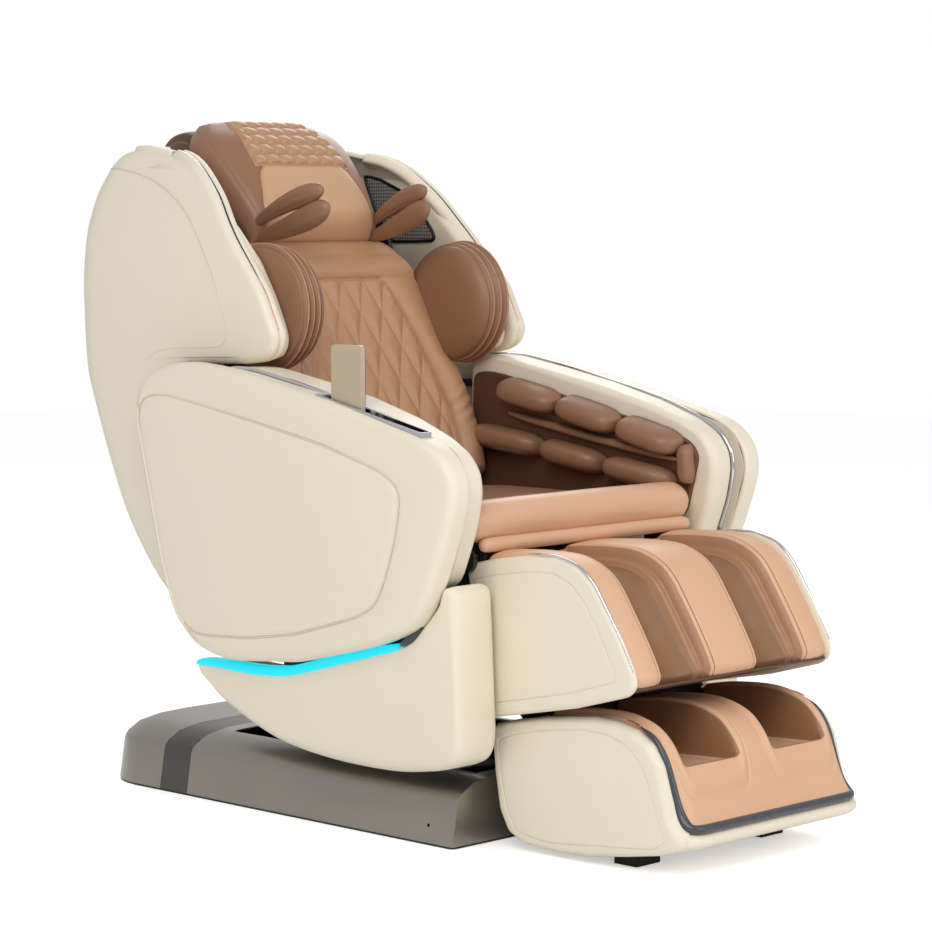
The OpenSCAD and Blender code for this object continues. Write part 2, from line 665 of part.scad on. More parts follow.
// Loft through U-shaped rings whose outer line returns along the inner one, h points a side
module wall_loft(rings, h) {
    n = 2 * h;
    m = len(rings);
    cap = concat([[n - 1, 0, h - 1], [n - 1, h - 1, h]],
        [for (i = [0:(h - 1) / 2 - 1]) let (a = h - 1 - i)
        for (q = [[i, i + 1, a], [i + 1, a - 1, a], [n - 1 - i, n - 1 - a, n - 2 - i],
            [n - 2 - i, n - 1 - a, n - a]])
        if (q[0] != q[1] && q[1] != q[2] && q[0] != q[2]) q]);
    polyhedron([for (r = rings) each r], concat([for (j = [0:m - 2]) for (i = [0:n - 1])
        let (a = j * n + i, b = j * n + (i + 1) % n) each [[a, b + n, a + n], [a, b, b + n]]],
        [for (q = cap) [q[2], q[1], q[0]]], [for (q = cap) q + (m - 1) * n * [1, 1, 1]]));
}

// Front edge of the wings: [z, y, share of the half width]
wing_front = [[824, -24, 1], [841, -37, 1], [866, -38, 1], [900, -22, 1], [938, -2, 1],
    [976, 30, 0.995], [1023, 76, 0.98], [1060, 107, 0.96], [1112, 152, 0.92], [1156, 205, 0.88],
    [1173, 235, 0.86]];
module back_shell() {
    low = [[336, 150, back_rear - 208, 0.81], [372, 155, back_rear - 176, 0.85],
        [425, 160, back_rear - 140, 0.90], [477, 165, back_rear - 116, 0.94],
        [560, 175, back_rear - 81, 0.97], [640, 190, back_rear - 52, 0.99],
        [725, 205, back_rear - 25, 1], [796, 215, back_rear - 8, 1],
        [803, 210, back_rear - 7, 1], [806, 60, back_rear - 6, 1],
        [812, -2, back_rear - 6, 1]];
    high = [for (w = wing_front) [w[0], w[1], rear_at(w[0]), w[2]]];
    // rounded roof: the wall turns inwards and closes
    roof = [[back_top - 14, 262, 0.84, 4], [back_top - 13.5, 264, 0.838, 36],
        [back_top - 5, 285, 0.815, 32], [back_top, 305, 0.78, 26]];
    rings = concat([for (s = concat(low, high)) shell_ring(s[0], s[1], s[2], s[3] * back_half)],
        [for (s = roof) shell_ring(s[0], s[1], rear_at(s[0]) - (s[0] > back_top - 1 ? 6 : 0),
            s[2] * back_half, s[3])]);
    color(cream) wall_loft(rings, len(rings[0]) / 2);
}
// Rear line of the upper shell: bulges to back_rear and rolls forward to the top
function rear_at(z) = z < 1060 ? back_rear - 6 * pow((z - 960) / 150, 2)
    : back_rear - 3 - 60 * pow((z - 1060) / (back_top - 1060), 1.8);
// U-shaped section open to the front, with an inturned rim, at height z
function shell_ring(z, yf, yr, w, t = shell_wall) =
    let (r = min(90, (yr - yf) * 0.6), lip = 42, s = 6,
        half = concat(
            [for (i = [0:s]) [w - r + r * sin(90 * i / s), yr - r + r * cos(90 * i / s)]],
            [[w + 1.5, mix(yr - r, yf, 0.5)], [w, yf + 10], [w - 3, yf + 3], [w - 10, yf],
            [w - lip, yf + 2], [w - lip, yf + 2 + t], [w - t - 7, yf + t + 3],
            [w - t, yf + t + 10], [w - t + 1.5, mix(yr - r, yf, 0.5)]],
            [for (i = [s:-1:0]) [w - r + (r - t) * sin(90 * i / s),
                yr - r + (r - t) * cos(90 * i / s)]]))
    [for (p = concat(half, [for (q = reverse(half)) [-q[0], q[1]]])) [p[0], p[1], z]];

// Local frame of the back: s runs up along the lean from the foot of the cushion
back_foot = [36, 558];
module on_back() {
    translate([0, back_foot[0], back_foot[1]]) rotate([90 - back_lean, 0, 0]) children();
}
module back_frame() {
    up = [sin(back_lean), cos(back_lean)];
    out = [cos(back_lean), -sin(back_lean)];
    a = [back_foot[0], back_foot[1]] + 14 * out;
    b = a + (massage_travel + 260) * up;
    post = [pivot + [-20, -14], recline_pin + [-16, -16], recline_pin + [18, -8],
        pivot + [26, 4], a + 60 * out, b + 60 * out, b, a, pivot + [-20, 16]];
    color(steel) {
        both() {
            difference() {
                plate(post, upright_x - plate_t / 2, plate_t);
                bar(pivot, shaft_r + fit, upright_x - 10, upright_x + 10);
            }
            // guide rail of the massage carriage
            plate([a + 50 * out + 10 * up, a + 66 * out + 10 * up, b + 66 * out, b + 50 * out],
                guide_gauge / 2 - 10, 20);
        }
        bar(recline_pin, 7, -upright_x, upright_x);
        // stays that carry the back shell and the wing linings
        both() {
            translate([upright_x - 4, 150, 722]) cube([8, back_rear - 180.2, 6]);
            bar(a + 54 * out + 330 * up, 6, upright_x, seat_half + 5 - gap);
        }
        for (s = [14, massage_travel + 246]) bar(a + 58 * out + s * up, 9, -upright_x, upright_x);
    }
}
module back_cushion() {
    len = 496;
    top = function (u, v) let (x = 2 * u - 1, half = mix(222, 190, v) + 6 * (1 - bulge(v, 4)),
            q = abs(x) < 0.55 ? 3 * abs(cos(180 * (4 * x + 5 * v)))
            * abs(cos(180 * (4 * x - 5 * v))) : 0)
        [x * half, (v - 0.5) * len,
            back_pad_t * (0.32 + 0.36 * bulge(v, 6) + 0.32 * exp(-pow((abs(x) - 0.78) / 0.17, 2)))
            * (0.55 + 0.45 * bulge(u, 6)) + q];
    color(tan) on_back() translate([0, len / 2, 0]) cushion(22, 20, top, 0.97);
}
module back_lining() {
    // board and cloth behind the cushion, from wing to wing
    color([0.4, 0.26, 0.17]) on_back() difference() {
        union() {
            translate([-seat_half - 2, 16, -13.7]) cube([2 * seat_half + 4, 190, 13.4]);
            translate([-200, 200, -13.7]) cube([400, 284, 13.4]);
        }
        // slots through which the rollers reach the cushion
        both() translate([34, 40, -20]) cube([64, 440, 30]);
    }
}
module head_pillow() {
    len = 252;
    top = function (u, v) let (x = 2 * u - 1, w = pillow_half * (0.80 + 0.20 * bulge(v, 2.6)))
        [x * w, (v - 0.5) * len, 78 * (0.3 + 0.7 * bulge(u, 2.8) * bulge(v, 2.8))
            - 4 * exp(-pow((abs(x) - 0.66) / 0.06, 2))];
    color(brown) translate([0, 291, 1110.6]) rotate([50, 0, 0]) cushion(14, 12, top, 0.94);
}
module pillow_hood() {
    top = function (u, v) [(2 * u - 1) * 150, (v - 0.5) * 96, 30 + 38 * bulge(u, 3) * bulge(v, 2)
        - 4 * abs(sin(720 * v))];
    color([0.4, 0.25, 0.16]) translate([0, 349, 1179.4]) rotate([50, 0, 0]) mirror([0, 0, 1])
        cushion(10, 10, top, 0.9);
}
// Leaf-shaped pad that stands beside the head: root at the rear, rounded tip in front
module leaf(len, w, t) {
    function skin(u, v, s) = let (b = bulge(u, 2.2))
        [s * t / 2 * (0.2 + 0.8 * b * bulge(v, 2.5)) - 12 * pow(u, 2), -u * len,
            (v - 0.5) * w * (0.3 + 0.7 * b)];
    pad(8, 6, function (u, v) skin(v, u, 1), function (u, v) skin(v, u, -1));
}
module neck_wings() {
    color(brown) both() {
        translate([134, 183, 1060]) rotate([-12, 0, 4]) leaf(158, 44, 30);
        translate([138, 181, 1104.4]) rotate([-12, 0, 3]) leaf(150, 42, 30);
    }
}
shoulder_c = [62, 896];
module shoulder_pads() {
    function face(u, v) = let (a = 360 * u, r = shoulder_r * (1 + 0.10 * cos(a - 100)),
            // v: 0 at the wall, three pleats up the side, then the crowned face
            pleat = v < 0.72 ? 1 - 0.05 * abs(sin(540 * v / 0.72)) : (1 - v) / 0.28,
            rr = v < 0.72 ? r * mix(1, 0.88, v / 0.72) * pleat : r * 0.88 * pow(pleat, 0.8) + 1)
        [rr * cos(a), rr * sin(a), shoulder_t * (v < 0.72 ? 0.86 * v / 0.72
            : 0.86 + 0.14 * bulge(0.5 * (v - 0.72) / 0.28, 2))];
    nv = 10;
    nu = 24;
    color(brown) both() translate([lining_x - gap, shoulder_c[0], shoulder_c[1]])
        rotate([0, -90, 0]) loft([for (j = [0:nv]) [for (i = [0:nu - 1]) face(i / nu, j / nv)]]);
}
wing_face = rounded([[40, 806, 20], [290, 806, 20], [430, 1000, 120], [400, 1140, 60],
    [310, 1172, 40], [232, 1150, 60], [168, 1108, 60], [116, 1062, 40], [60, 1010, 80],
    [2, 905, 60],
    [-22, 850, 30], [-8, 812, 14]]);
grille = rounded([[343, 1150, 16], [242, 1122, 30], [176, 1068, 30], [140, 1022, 12],
    [262, 1022, 16]]);
module wing_linings() {
    color([0.86, 0.80, 0.71]) both() difference() {
        plate(wing_face, seat_half + 5, 6);
        plate(inset(grille, 3), seat_half, 20);
    }
}
module speaker_grilles() {
    color([0.45, 0.45, 0.46]) both() plate(inset(grille, 3 + gap), seat_half + 3, 5);
}
module wing_trims() {
    // narrow strip set in front of the rim of each wing
    rows = [for (w = wing_front) if (w[0] > 860) w];
    n = len(rows) - 1;
    color([0.25, 0.25, 0.27]) both() polyhedron([for (w = rows) for (q = [[-24, -1.5 * gap],
        [-15, -1.5 * gap], [-15, -2.8], [-24, -2.8]]) [w[2] * back_half + q[0], w[1] + q[1], w[0]]],
        concat([[0, 2, 1], [0, 3, 2]], [[4 * n, 4 * n + 1, 4 * n + 2], [4 * n, 4 * n + 2,
        4 * n + 3]], [for (j = [0:n - 1]) for (i = [0:3]) let (a = 4 * j + i,
        b = 4 * j + (i + 1) % 4) each [[a, b + 4, a + 4], [a, b, b + 4]]]));
}
// ---- massage mechanism ----

mech_s = 78;    // rest place of the mechanism along the guide rails
module massage_carriage() {
    color([0.3, 0.3, 0.32]) on_back() translate([0, mech_s, -14 - 58]) {
        both() difference() {
            translate([guide_gauge / 2 - 22, -50, -14]) cube([44, 100, 28]);
            translate([guide_gauge / 2 - 10 - gap, -51, -8 - gap]) cube([20 + 2 * gap, 102,
                16 + 2 * gap]);
        }
        for (y = [-44, 24]) translate([-guide_gauge / 2 + 22, y, -12])
            cube([guide_gauge - 44, 20, 24]);
        translate([-44, -24, -62]) cube([88, 48, 62]);
        // bearings of the kneading shaft
        both() difference() {
            translate([96, -14, 12]) cube([12, 28, 30]);
            translate([90, 0, 30]) rotate([0, 90, 0]) cylinder(r = 8 + fit, h = 30);
        }
        both() translate([96, -44, 12]) cube([12, 31, 6]);
    }
}
module massage_rollers() {
    color([0.75, 0.72, 0.66]) on_back() translate([0, mech_s, -14 - 28]) rotate([0, 90, 0]) {
        translate([0, 0, -116]) cylinder(r = 8, h = 232);
        for (x = [-64, 64]) translate([0, 0, x]) rotate_extrude($fn = 48)
            polygon([[0, -12], [17, -12], [22, -7], [24, 0], [22, 7], [17, 12], [0, 12]]);
    }
}

// ---- calf unit ----

calf_side = rounded([[-449, 483, 8], [-503, 226, 12], [-697, 262, 100], [-830, 300, 30],
    [-757, 450, 120], [-700, 515, 70], [-600, 512, 120], [-515, 498, 40]]);
module calf_shells() {
    color(cream) both() loft([for (s = [[calf_half - 11, 0], [calf_half - 4, 0],
        [calf_half - 1, 2], [calf_half, 6]]) ring(calf_side, s[0], s[1], 0, [0, 0])]);
    // closing panel underneath
    color(cream) difference() {
        plate(rounded([[-506, 228, 4], [-697, 264, 60], [-812, 296, 6],
            [-809, 303, 4], [-697, 271, 60], [-507, 235, 4]]), -calf_half + 11 + gap,
            2 * (calf_half - 11 - gap));
        both() rod(on_rod(100), on_rod(260), 15);
    }
}
// crest line of the calf cushion and how thick it is below it
calf_crest = [[-487, 486], [-540, 501], [-600, 508], [-660, 506], [-710, 487], [-752, 446],
    [-786, 396], [-818, 336]];
function calf_line(v) = let (s = min(v, 0.9999) * (len(calf_crest) - 1), i = floor(s))
    mix(calf_crest[i], calf_crest[i + 1], s - i);
function calf_normal(v) = let (t = unit(calf_line(min(1, v + 0.06)) - calf_line(max(0, v - 0.06))))
    [t[1], -t[0]];
// How deep the surface lies below the crest at half width x
function calf_dip(x) = let (d = abs(abs(x) - trough_x) / trough_half)
    d < 1 ? trough_depth * pow(cos(90 * d), 0.7) : 3 * pow(max(0, abs(x) - 205) / 45, 2);
module calf_cushion() {
    half = calf_half - 11 - gap;
    function skin(u, v, low) = let (x = (2 * u - 1) * half, p = calf_line(v), n = calf_normal(v),
            d = low ? mix(20, 66, min(1, 5 * v)) : calf_dip(x) + 8 * (1 - bulge(v, 6)), q = p - d * n)
        [x, q[0], q[1]];
    color(tan) pad(26, 10, function (u, v) skin(u, 1 - v, false),
        function (u, v) skin(u, 1 - v, true));
}
module calf_trims() {
    on = [for (i = [0:len(calf_side) - 1]) if (calf_side[i][0] < -640 && calf_side[i][1] > 312) i];
    lo = inset(calf_side, -gap);
    hi = inset(calf_side, -3);
    color("silver") both() plate(reverse(concat([for (i = on) lo[i]], reverse([for (i = on)
        hi[i]]))), calf_half - 11, 6);
}
foot_dir = [-0.22, -0.975];     // the way the foot unit slides out
tube_x = 190;
// Point of a telescopic tube's centre line at distance t from its top
function on_rod(t) = [tube_x, -530 + t * foot_dir[0], 400 + t * foot_dir[1]];
module calf_frame() {
    color(steel) {
        both() {
            difference() {
                plate([[-knee_y + 18, knee_z - 12], [-knee_y + 14, knee_z + 16],
                    [-knee_y - 16, knee_z + 16], [-knee_y - 22, knee_z - 40], [-482, 470],
                    [-498, 400], [-520, 300], [-540, 262], [-512, 258], [-462, 440]],
                    knee_arm_x - plate_t / 2, plate_t);
                bar(knee, shaft_r + fit, 230, 270);
            }
            difference() {
                rod(on_rod(0), on_rod(130), 14);
                rod(on_rod(-20), on_rod(160), 10 + fit);
            }
        }
        bar(legrest_pin, 7, -knee_arm_x, knee_arm_x);
        translate([-calf_half + 11 + gap, -526, 330]) cube([2 * (calf_half - 11 - gap), 13, 40]);
    }
}

// ---- foot unit ----

foot_side = rounded([[-500, 60, 40], [-545, 14, 30], [-660, 10, 60], [-780, 24, 80],
    [-922, 54, 8], [-921, 74, 8], [-890, 96, 20], [-860, 180, 30], [-836, 222, 40],
    [-760, 246, 60], [-700, 249, 60], [-590, 235, 60], [-482, 212, 12]]);
foot_top = rounded([[-600, 66, 20], [-880, 76, 10], [-916, 84, 6], [-900, 108, 20],
    [-872, 170, 30], [-842, 228, 34], [-765, 252, 60], [-700, 252, 60], [-600, 239, 10]]);
module foot_shell() {
    color(cream) difference() {
        loft([for (s = [[-foot_half, 10], [-foot_half + 4, 3], [-foot_half + 12, 0],
            [foot_half - 12, 0], [foot_half - 4, 3], [foot_half, 10]])
            ring(foot_side, s[0], s[1], 0, [0, 0])]);
        plate(foot_top, -foot_half + 22, 2 * foot_half - 44);
        both() rod(on_rod(0), on_rod(318), 10);
    }
}
module foot_rods() {
    color("silver") both() rod(on_rod(10), on_rod(foot_travel + 216), 10 - gap);
}
well = [-852, -640];   // front and rear edge of a foot well
roller_p = [-730, 104];
module foot_cushion() {
    half = foot_half - 22 - gap;
    color(tan) difference() {
        plate(inset(foot_top, gap), -half, 2 * half);
        for (x = [-well_x, well_x]) {
            translate([x, 0, 112]) linear_extrude(200) translate([-well_half, well[0]])
                rounded_rect(2 * well_half, well[1] - well[0], 34);
            translate([x - 40, roller_p[0] - 30, roller_p[1] - 28]) cube([80, 60, 60]);
        }
        both() rod(on_rod(0), on_rod(foot_travel + 230), 12);
        bar(roller_p, 6, -half, half);
    }
}
module foot_trim() {
    color([0.2, 0.2, 0.22]) plate([[-916, 84.5], [-913, 84.5], [-911.3, 93], [-915, 91.5]],
        -foot_half + 26, 2 * foot_half - 52);
}
module foot_pads() {
    color([0.08, 0.08, 0.08]) both() plate([[-775, 0], [-725, 0], [-725, 16.8], [-775, 22.4]],
        135, 60);
}
module foot_rollers() {
    color([0.75, 0.72, 0.66]) {
        bar(roller_p, 5, -well_x - 70, well_x + 70);
        for (x = [-well_x, well_x]) for (d = [-24, 0, 24]) bar(roller_p, foot_roller_r,
            x + d - 8, x + d + 8);
    }
}

base_pan();
base_front_cover();
base_rear_cover();
base_band();
slide_rails();
base_crossbars();
power_box();
power_switch();
slide_motor();
transport_wheels();
carriage_frame();
slide_rod();
tilt_tube();
tilt_rod();
seat_frame();
seat_cushion();
seat_roll();
knee_flap();
knee_boots();
lower_shells();
light_strips();
door_posts();
arm_shells();
arm_trims();
arm_linings();
arm_pads();
door_left();
door_liner_left();
door_right();
door_liner_right();
remote_dock();
remote_case();
remote_screen();
recline_tube();
recline_rod();
back_frame();
back_shell();
back_cushion();
head_pillow();
pillow_hood();
neck_wings();
shoulder_pads();
speaker_grilles();
wing_linings();
wing_trims();
back_lining();
massage_carriage();
massage_rollers();
legrest_tube();
legrest_rod();
calf_frame();
calf_shells();
calf_cushion();
calf_trims();
foot_rods();
foot_shell();
foot_cushion();
foot_trim();
foot_pads();
foot_rollers();
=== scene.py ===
"""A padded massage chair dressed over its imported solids: base, side shells, doors, back and legs."""
import math

import bmesh
import bpy
import numpy as np
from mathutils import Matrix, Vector


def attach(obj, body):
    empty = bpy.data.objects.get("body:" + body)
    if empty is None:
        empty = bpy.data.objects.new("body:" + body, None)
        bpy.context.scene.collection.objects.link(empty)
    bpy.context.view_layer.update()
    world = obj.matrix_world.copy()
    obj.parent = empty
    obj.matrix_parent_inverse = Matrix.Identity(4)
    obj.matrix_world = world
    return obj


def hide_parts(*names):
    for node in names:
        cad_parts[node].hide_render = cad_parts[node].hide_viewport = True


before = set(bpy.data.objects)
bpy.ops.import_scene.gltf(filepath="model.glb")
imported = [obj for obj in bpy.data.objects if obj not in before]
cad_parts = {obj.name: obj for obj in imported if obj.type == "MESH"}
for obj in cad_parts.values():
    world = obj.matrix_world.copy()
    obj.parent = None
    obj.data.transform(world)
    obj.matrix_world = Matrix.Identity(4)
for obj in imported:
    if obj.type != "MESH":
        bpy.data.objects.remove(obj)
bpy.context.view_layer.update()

# ---- Studio: pale floor, soft box lights and the camera ----
# A plain sweep of matt board under three large soft lights. The camera stands to the
# front and left of the chair, a little under head height, with a long lens.
scene = bpy.context.scene
scene.view_settings.view_transform = "Standard"
camera_turn, camera_dip = 46, 4.87
lens = bpy.data.cameras.new("studio_camera")
lens.lens = 115.88
lens.sensor_width = 36.0
lens.clip_end = 100.0
camera = bpy.data.objects.new("studio_camera", lens)
camera.location = (-3.8989, -3.9599, 1.0810)
camera.rotation_euler = (math.radians(90 - camera_dip), 0, math.radians(-camera_turn))
scene.collection.objects.link(camera)
scene.camera = camera


def fill_inputs(tree, node, inputs):
    """Sets sockets of a node: a socket given as value is linked, anything else is its value."""
    for key, value in inputs.items():
        if isinstance(value, bpy.types.NodeSocket):
            tree.links.new(value, node.inputs[key])
        else:
            node.inputs[key].default_value = value


def add_node(tree, kind, inputs, **settings):
    """New shader node of a kind with its settings and inputs."""
    node = tree.nodes.new("ShaderNode" + kind)
    for key, value in settings.items():
        setattr(node, key, value)
    fill_inputs(tree, node, inputs)
    return node


def new_material(name):
    """New node material, its node tree and its shader."""
    mat = bpy.data.materials.new(name)
    mat.use_nodes = True
    return mat, mat.node_tree, mat.node_tree.nodes["Principled BSDF"]


def soft_light(name, place, aim, size, power):
    """Square area lamp at place that faces aim."""
    lamp = bpy.data.lights.new(name, "AREA")
    lamp.size = size
    lamp.energy = power
    o = bpy.data.objects.new(name, lamp)
    o.location = place
    o.rotation_euler = (Vector(aim) - Vector(place)).to_track_quat("-Z", "Y").to_euler()
    scene.collection.objects.link(o)


soft_light("key_box", (-3.2, -2.4, 3.4), (0, -0.2, 0.6), 2.6, 84)
soft_light("front_box", (0.6, -4.2, 2.2), (0, -0.2, 0.6), 2.4, 38)
soft_light("rim_box", (2.8, 2.2, 3.0), (0, 0, 0.8), 2.2, 44)

world = bpy.data.worlds.new("studio_air")
scene.world = world
world.use_nodes = True
air = world.node_tree
white = (1, 1, 1, 1)
glow = air.nodes["Background"]
fill_inputs(air, glow, {"Color": white, "Strength": 0.54})
# the camera, also through glass, sees pure white; everything else gets the softer glow
white_air = add_node(air, "Background", {"Color": white, "Strength": 1.0})
ray = add_node(air, "LightPath", {})
either = add_node(air, "Math", {0: ray.outputs["Is Camera Ray"], 1: ray.outputs["Is Transmission Ray"]},
                  operation="MAXIMUM")
pick = add_node(air, "MixShader", {0: either.outputs[0], 1: glow.outputs[0], 2: white_air.outputs[0]})
fill_inputs(air, air.nodes["World Output"], {"Surface": pick.outputs[0]})

floor_half = 9
floor_mesh = bpy.data.meshes.new("floor")
corners = [(floor_half * a, floor_half * b, 0) for a, b in ((-1, -1), (1, -1), (1, 1), (-1, 1))]
floor_mesh.from_pydata(corners, [], [(0, 1, 2, 3)])
floor = bpy.data.objects.new("floor", floor_mesh)
scene.collection.objects.link(floor)
board, board_nt, board_sh = new_material("floor_board")
board_ray = add_node(board_nt, "LightPath", {})
board_gain = add_node(board_nt, "Math", {0: board_ray.outputs["Is Camera Ray"], 1: 0.43},
                      operation="MULTIPLY")
fill_inputs(board_nt, board_sh, {
    "Base Color": white, "Roughness": 0.9, "Specular IOR Level": 0.1, "Emission Color": white,
    "Emission Strength": board_gain.outputs[0]})
floor_mesh.materials.append(board)

# ---- Base: two moulded covers, a band and the ground plate ----
# Injection-moulded covers in a champagne metallic paint, clipped to a steel ground plate.
# The side walls lean in a little and turn over a soft shoulder into the crowned top.


def tint(r, g, b):
    """Linear colour of a displayed colour given in 0..1."""
    return tuple(((c + 0.055) / 1.055) ** 2.4 if c > 0.04 else c / 12.92 for c in (r, g, b)) + (1,)


def cloudy(nt, colour, low, high, rough, rough_low, rough_high, scale, detail):
    """Soft clouds of noise that run a colour from low to high times itself, and a roughness from
    rough_low below to rough_high above; gives the coordinates and both sockets."""
    place = add_node(nt, "TexCoord", {}).outputs["Object"]
    cloud = add_node(nt, "TexNoise", {"Scale": scale, "Detail": detail, "Vector": place}).outputs["Fac"]
    base = tint(*colour)[:3]
    blend = add_node(nt, "Mix", {}, data_type="RGBA")
    fill_inputs(nt, blend, {0: cloud, 6: tuple(c * low for c in base) + (1,),
                            7: tuple(min(1, c * high) for c in base) + (1,)})
    span = add_node(nt, "MapRange", {"To Min": rough - rough_low, "To Max": rough + rough_high,
                                     "Value": cloud})
    return place, blend.outputs[2], span.outputs[0]


def paint(name, colour, rough=0.4, metallic=0.0, flake=0.0, coat=0.0):
    """Painted or moulded finish: faint cloudy colour, fine orange peel, roughness mottling."""
    mat, nt, sh = new_material(name)
    place, cloudy_colour, cloudy_rough = cloudy(nt, colour, 0.97 - flake, 1.03 + flake, rough, 0.04,
                                                0.05, 9.0, 3.0)
    peel = add_node(nt, "TexNoise", {"Scale": 900.0, "Vector": place})
    bump = add_node(nt, "Bump", {"Strength": 0.06, "Distance": 0.0004, "Height": peel.outputs["Fac"]})
    fill_inputs(nt, sh, {"Base Color": cloudy_colour, "Normal": bump.outputs[0],
                         "Roughness": cloudy_rough, "Metallic": metallic, "Coat Weight": coat,
                         "Coat Roughness": 0.12})
    return mat


def place_piece(name, mesh, mat, body, nodes=()):
    """Links a mesh as a piece that rides on a body, with its material, and hides its CAD nodes."""
    o = bpy.data.objects.new(name, mesh)
    scene.collection.objects.link(o)
    mesh.materials.clear()
    mesh.materials.append(mat)
    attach(o, body)
    if nodes:
        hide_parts(*nodes)
    return o


def dress(node, mat, body, edge=0.0008, angle=32.0):
    """Merged copy of a CAD node: smooth below the given angle, with a fine bevel on its edges."""
    bm = bmesh.new()
    bm.from_mesh(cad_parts[node].data)
    bmesh.ops.remove_doubles(bm, verts=bm.verts, dist=2e-5)
    bmesh.ops.dissolve_limit(bm, angle_limit=math.radians(0.5), verts=bm.verts, edges=bm.edges)
    for f in bm.faces:
        f.smooth = True
    for e in bm.edges:
        e.smooth = len(e.link_faces) == 2 and e.calc_face_angle(0) < math.radians(angle)
    mesh = bpy.data.meshes.new(node + "_skin")
    bm.to_mesh(mesh)
    bm.free()
    o = place_piece(node + "_skin", mesh, mat, body, [node])
    if edge:
        bevel = o.modifiers.new("edge", "BEVEL")
        bevel.width = edge
        bevel.segments = 2
        bevel.limit_method = "ANGLE"
        bevel.angle_limit = math.radians(angle)
        bevel.harden_normals = True
    return o


champagne = paint("champagne_paint", (0.62, 0.60, 0.565), 0.30, 0.8, 0.02, 0.3)
band_paint = paint("band_paint", (0.36, 0.35, 0.33), 0.32, 0.7, 0.02, 0.2)
dark_steel = paint("frame_steel_paint", (0.20, 0.20, 0.22), 0.42, 0.3)
bright_steel = paint("bright_steel", (0.72, 0.72, 0.74), 0.24, 1.0)
housing = paint("housing_plastic", (0.15, 0.15, 0.16), 0.55)
dress("base_front_cover", champagne, "base", 0.0012)
dress("base_rear_cover", champagne, "base", 0.0)
dress("base_band", band_paint, "base", 0.0006)
dress("base_pan", dark_steel, "base")
dress("base_crossbars", dark_steel, "base")
dress("slide_rails", bright_steel, "base")
dress("power_box", housing, "base", 0.0015)
dress("slide_motor", housing, "base", 0.0015)
dress("power_switch", paint("switch_red", (0.62, 0.10, 0.09), 0.3), "switch", 0.0006)
rubber = paint("black_rubber", (0.07, 0.07, 0.07), 0.7)
dress("transport_wheels", rubber, "wheels", 0.0015)

# ---- Carriage, actuators and frames ----
# Welded and powder-coated steel frames on two bright rails. Three screw actuators with
# moulded motor housings tilt the seat, recline the back and lift the leg unit.
roller_plastic = paint("roller_plastic", (0.75, 0.72, 0.66), 0.45)
boot_rubber = paint("boot_rubber", (0.05, 0.05, 0.05), 0.22, coat=0.5)
for node, mat, body, slot in (
        ("carriage_frame", dark_steel, "carriage", "frame_steel"),
        ("slide_rod", bright_steel, "carriage", "bright_steel"),
        ("tilt_tube", housing, "tilt_tube", "housing_plastic"),
        ("tilt_rod", bright_steel, "tilt_rod", "bright_steel"),
        ("seat_frame", dark_steel, "seat", "frame_steel"),
        ("door_posts", dark_steel, "seat", "frame_steel"),
        ("recline_tube", housing, "recline_tube", "housing_plastic"),
        ("recline_rod", bright_steel, "recline_rod", "bright_steel"),
        ("back_frame", dark_steel, "back", "frame_steel"),
        ("massage_carriage", housing, "massage", "housing_plastic"),
        ("massage_rollers", roller_plastic, "kneader", "roller_plastic"),
        ("legrest_tube", housing, "legrest_tube", "housing_plastic"),
        ("legrest_rod", bright_steel, "legrest_rod", "bright_steel"),
        ("calf_frame", dark_steel, "calf", "frame_steel"),
        ("foot_rods", bright_steel, "foot", "bright_steel"),
        ("knee_boots", boot_rubber, "seat", "rubber_black"),
        ("foot_pads", rubber, "foot", "rubber_black"),
        ("foot_rollers", roller_plastic, "foot_kneader", "roller_plastic")):
    dress(node, mat, body)

# ---- Doors: padded outer panels of the armrests ----
# Moulded shells wrapped in cream synthetic leather. A piped seam parts the flat middle from
# the border, which rolls over the edge. Each hangs on a steel post at its rear edge.


def leather(name, colour, rough=0.42, grain=1.0, shade=0.05):
    """Synthetic leather: pebble grain from smooth Voronoi cells with fine noise on top, soft
    cloudy changes of colour and roughness."""
    mat, nt, sh = new_material(name)
    place, cloudy_colour, cloudy_rough = cloudy(nt, colour, 1 - shade, 1 + shade, rough, 0.05, 0.06,
                                                6.0, 4.0)
    pebble = add_node(nt, "TexVoronoi", {}, feature="SMOOTH_F1")
    fill_inputs(nt, pebble, {"Scale": 620.0, "Vector": place})
    pore = add_node(nt, "TexNoise", {"Scale": 210.0, "Detail": 5.0, "Vector": place})
    grains = add_node(nt, "Math", {0: pebble.outputs["Distance"], 1: pore.outputs["Fac"]},
                      operation="ADD")
    bump = add_node(nt, "Bump", {"Strength": 0.16 * grain, "Distance": 0.0006,
                                 "Height": grains.outputs[0]})
    fill_inputs(nt, sh, {"Base Color": cloudy_colour, "Normal": bump.outputs[0],
                         "Roughness": cloudy_rough})
    return mat


def grid_faces(rows, cols, wrap=False):
    """Quads of a rows x cols grid of vertices; wrap joins the last column to the first."""
    i = np.arange(rows - 1)[:, None]
    j = np.arange(cols if wrap else cols - 1)[None, :]
    k = (j + 1) % cols
    return np.stack(np.broadcast_arrays(i * cols + j, i * cols + k, (i + 1) * cols + k,
                                        (i + 1) * cols + j), -1).reshape(-1, 4)


def read_points(mesh):
    """Coordinates of a mesh's vertices as an array (N, 3)."""
    co = np.empty(len(mesh.vertices) * 3)
    mesh.vertices.foreach_get("co", co)
    return co.reshape(-1, 3)


def write_points(mesh, co):
    """Puts an array (N, 3) back as the coordinates of a mesh's vertices."""
    mesh.vertices.foreach_set("co", np.ascontiguousarray(co).ravel())


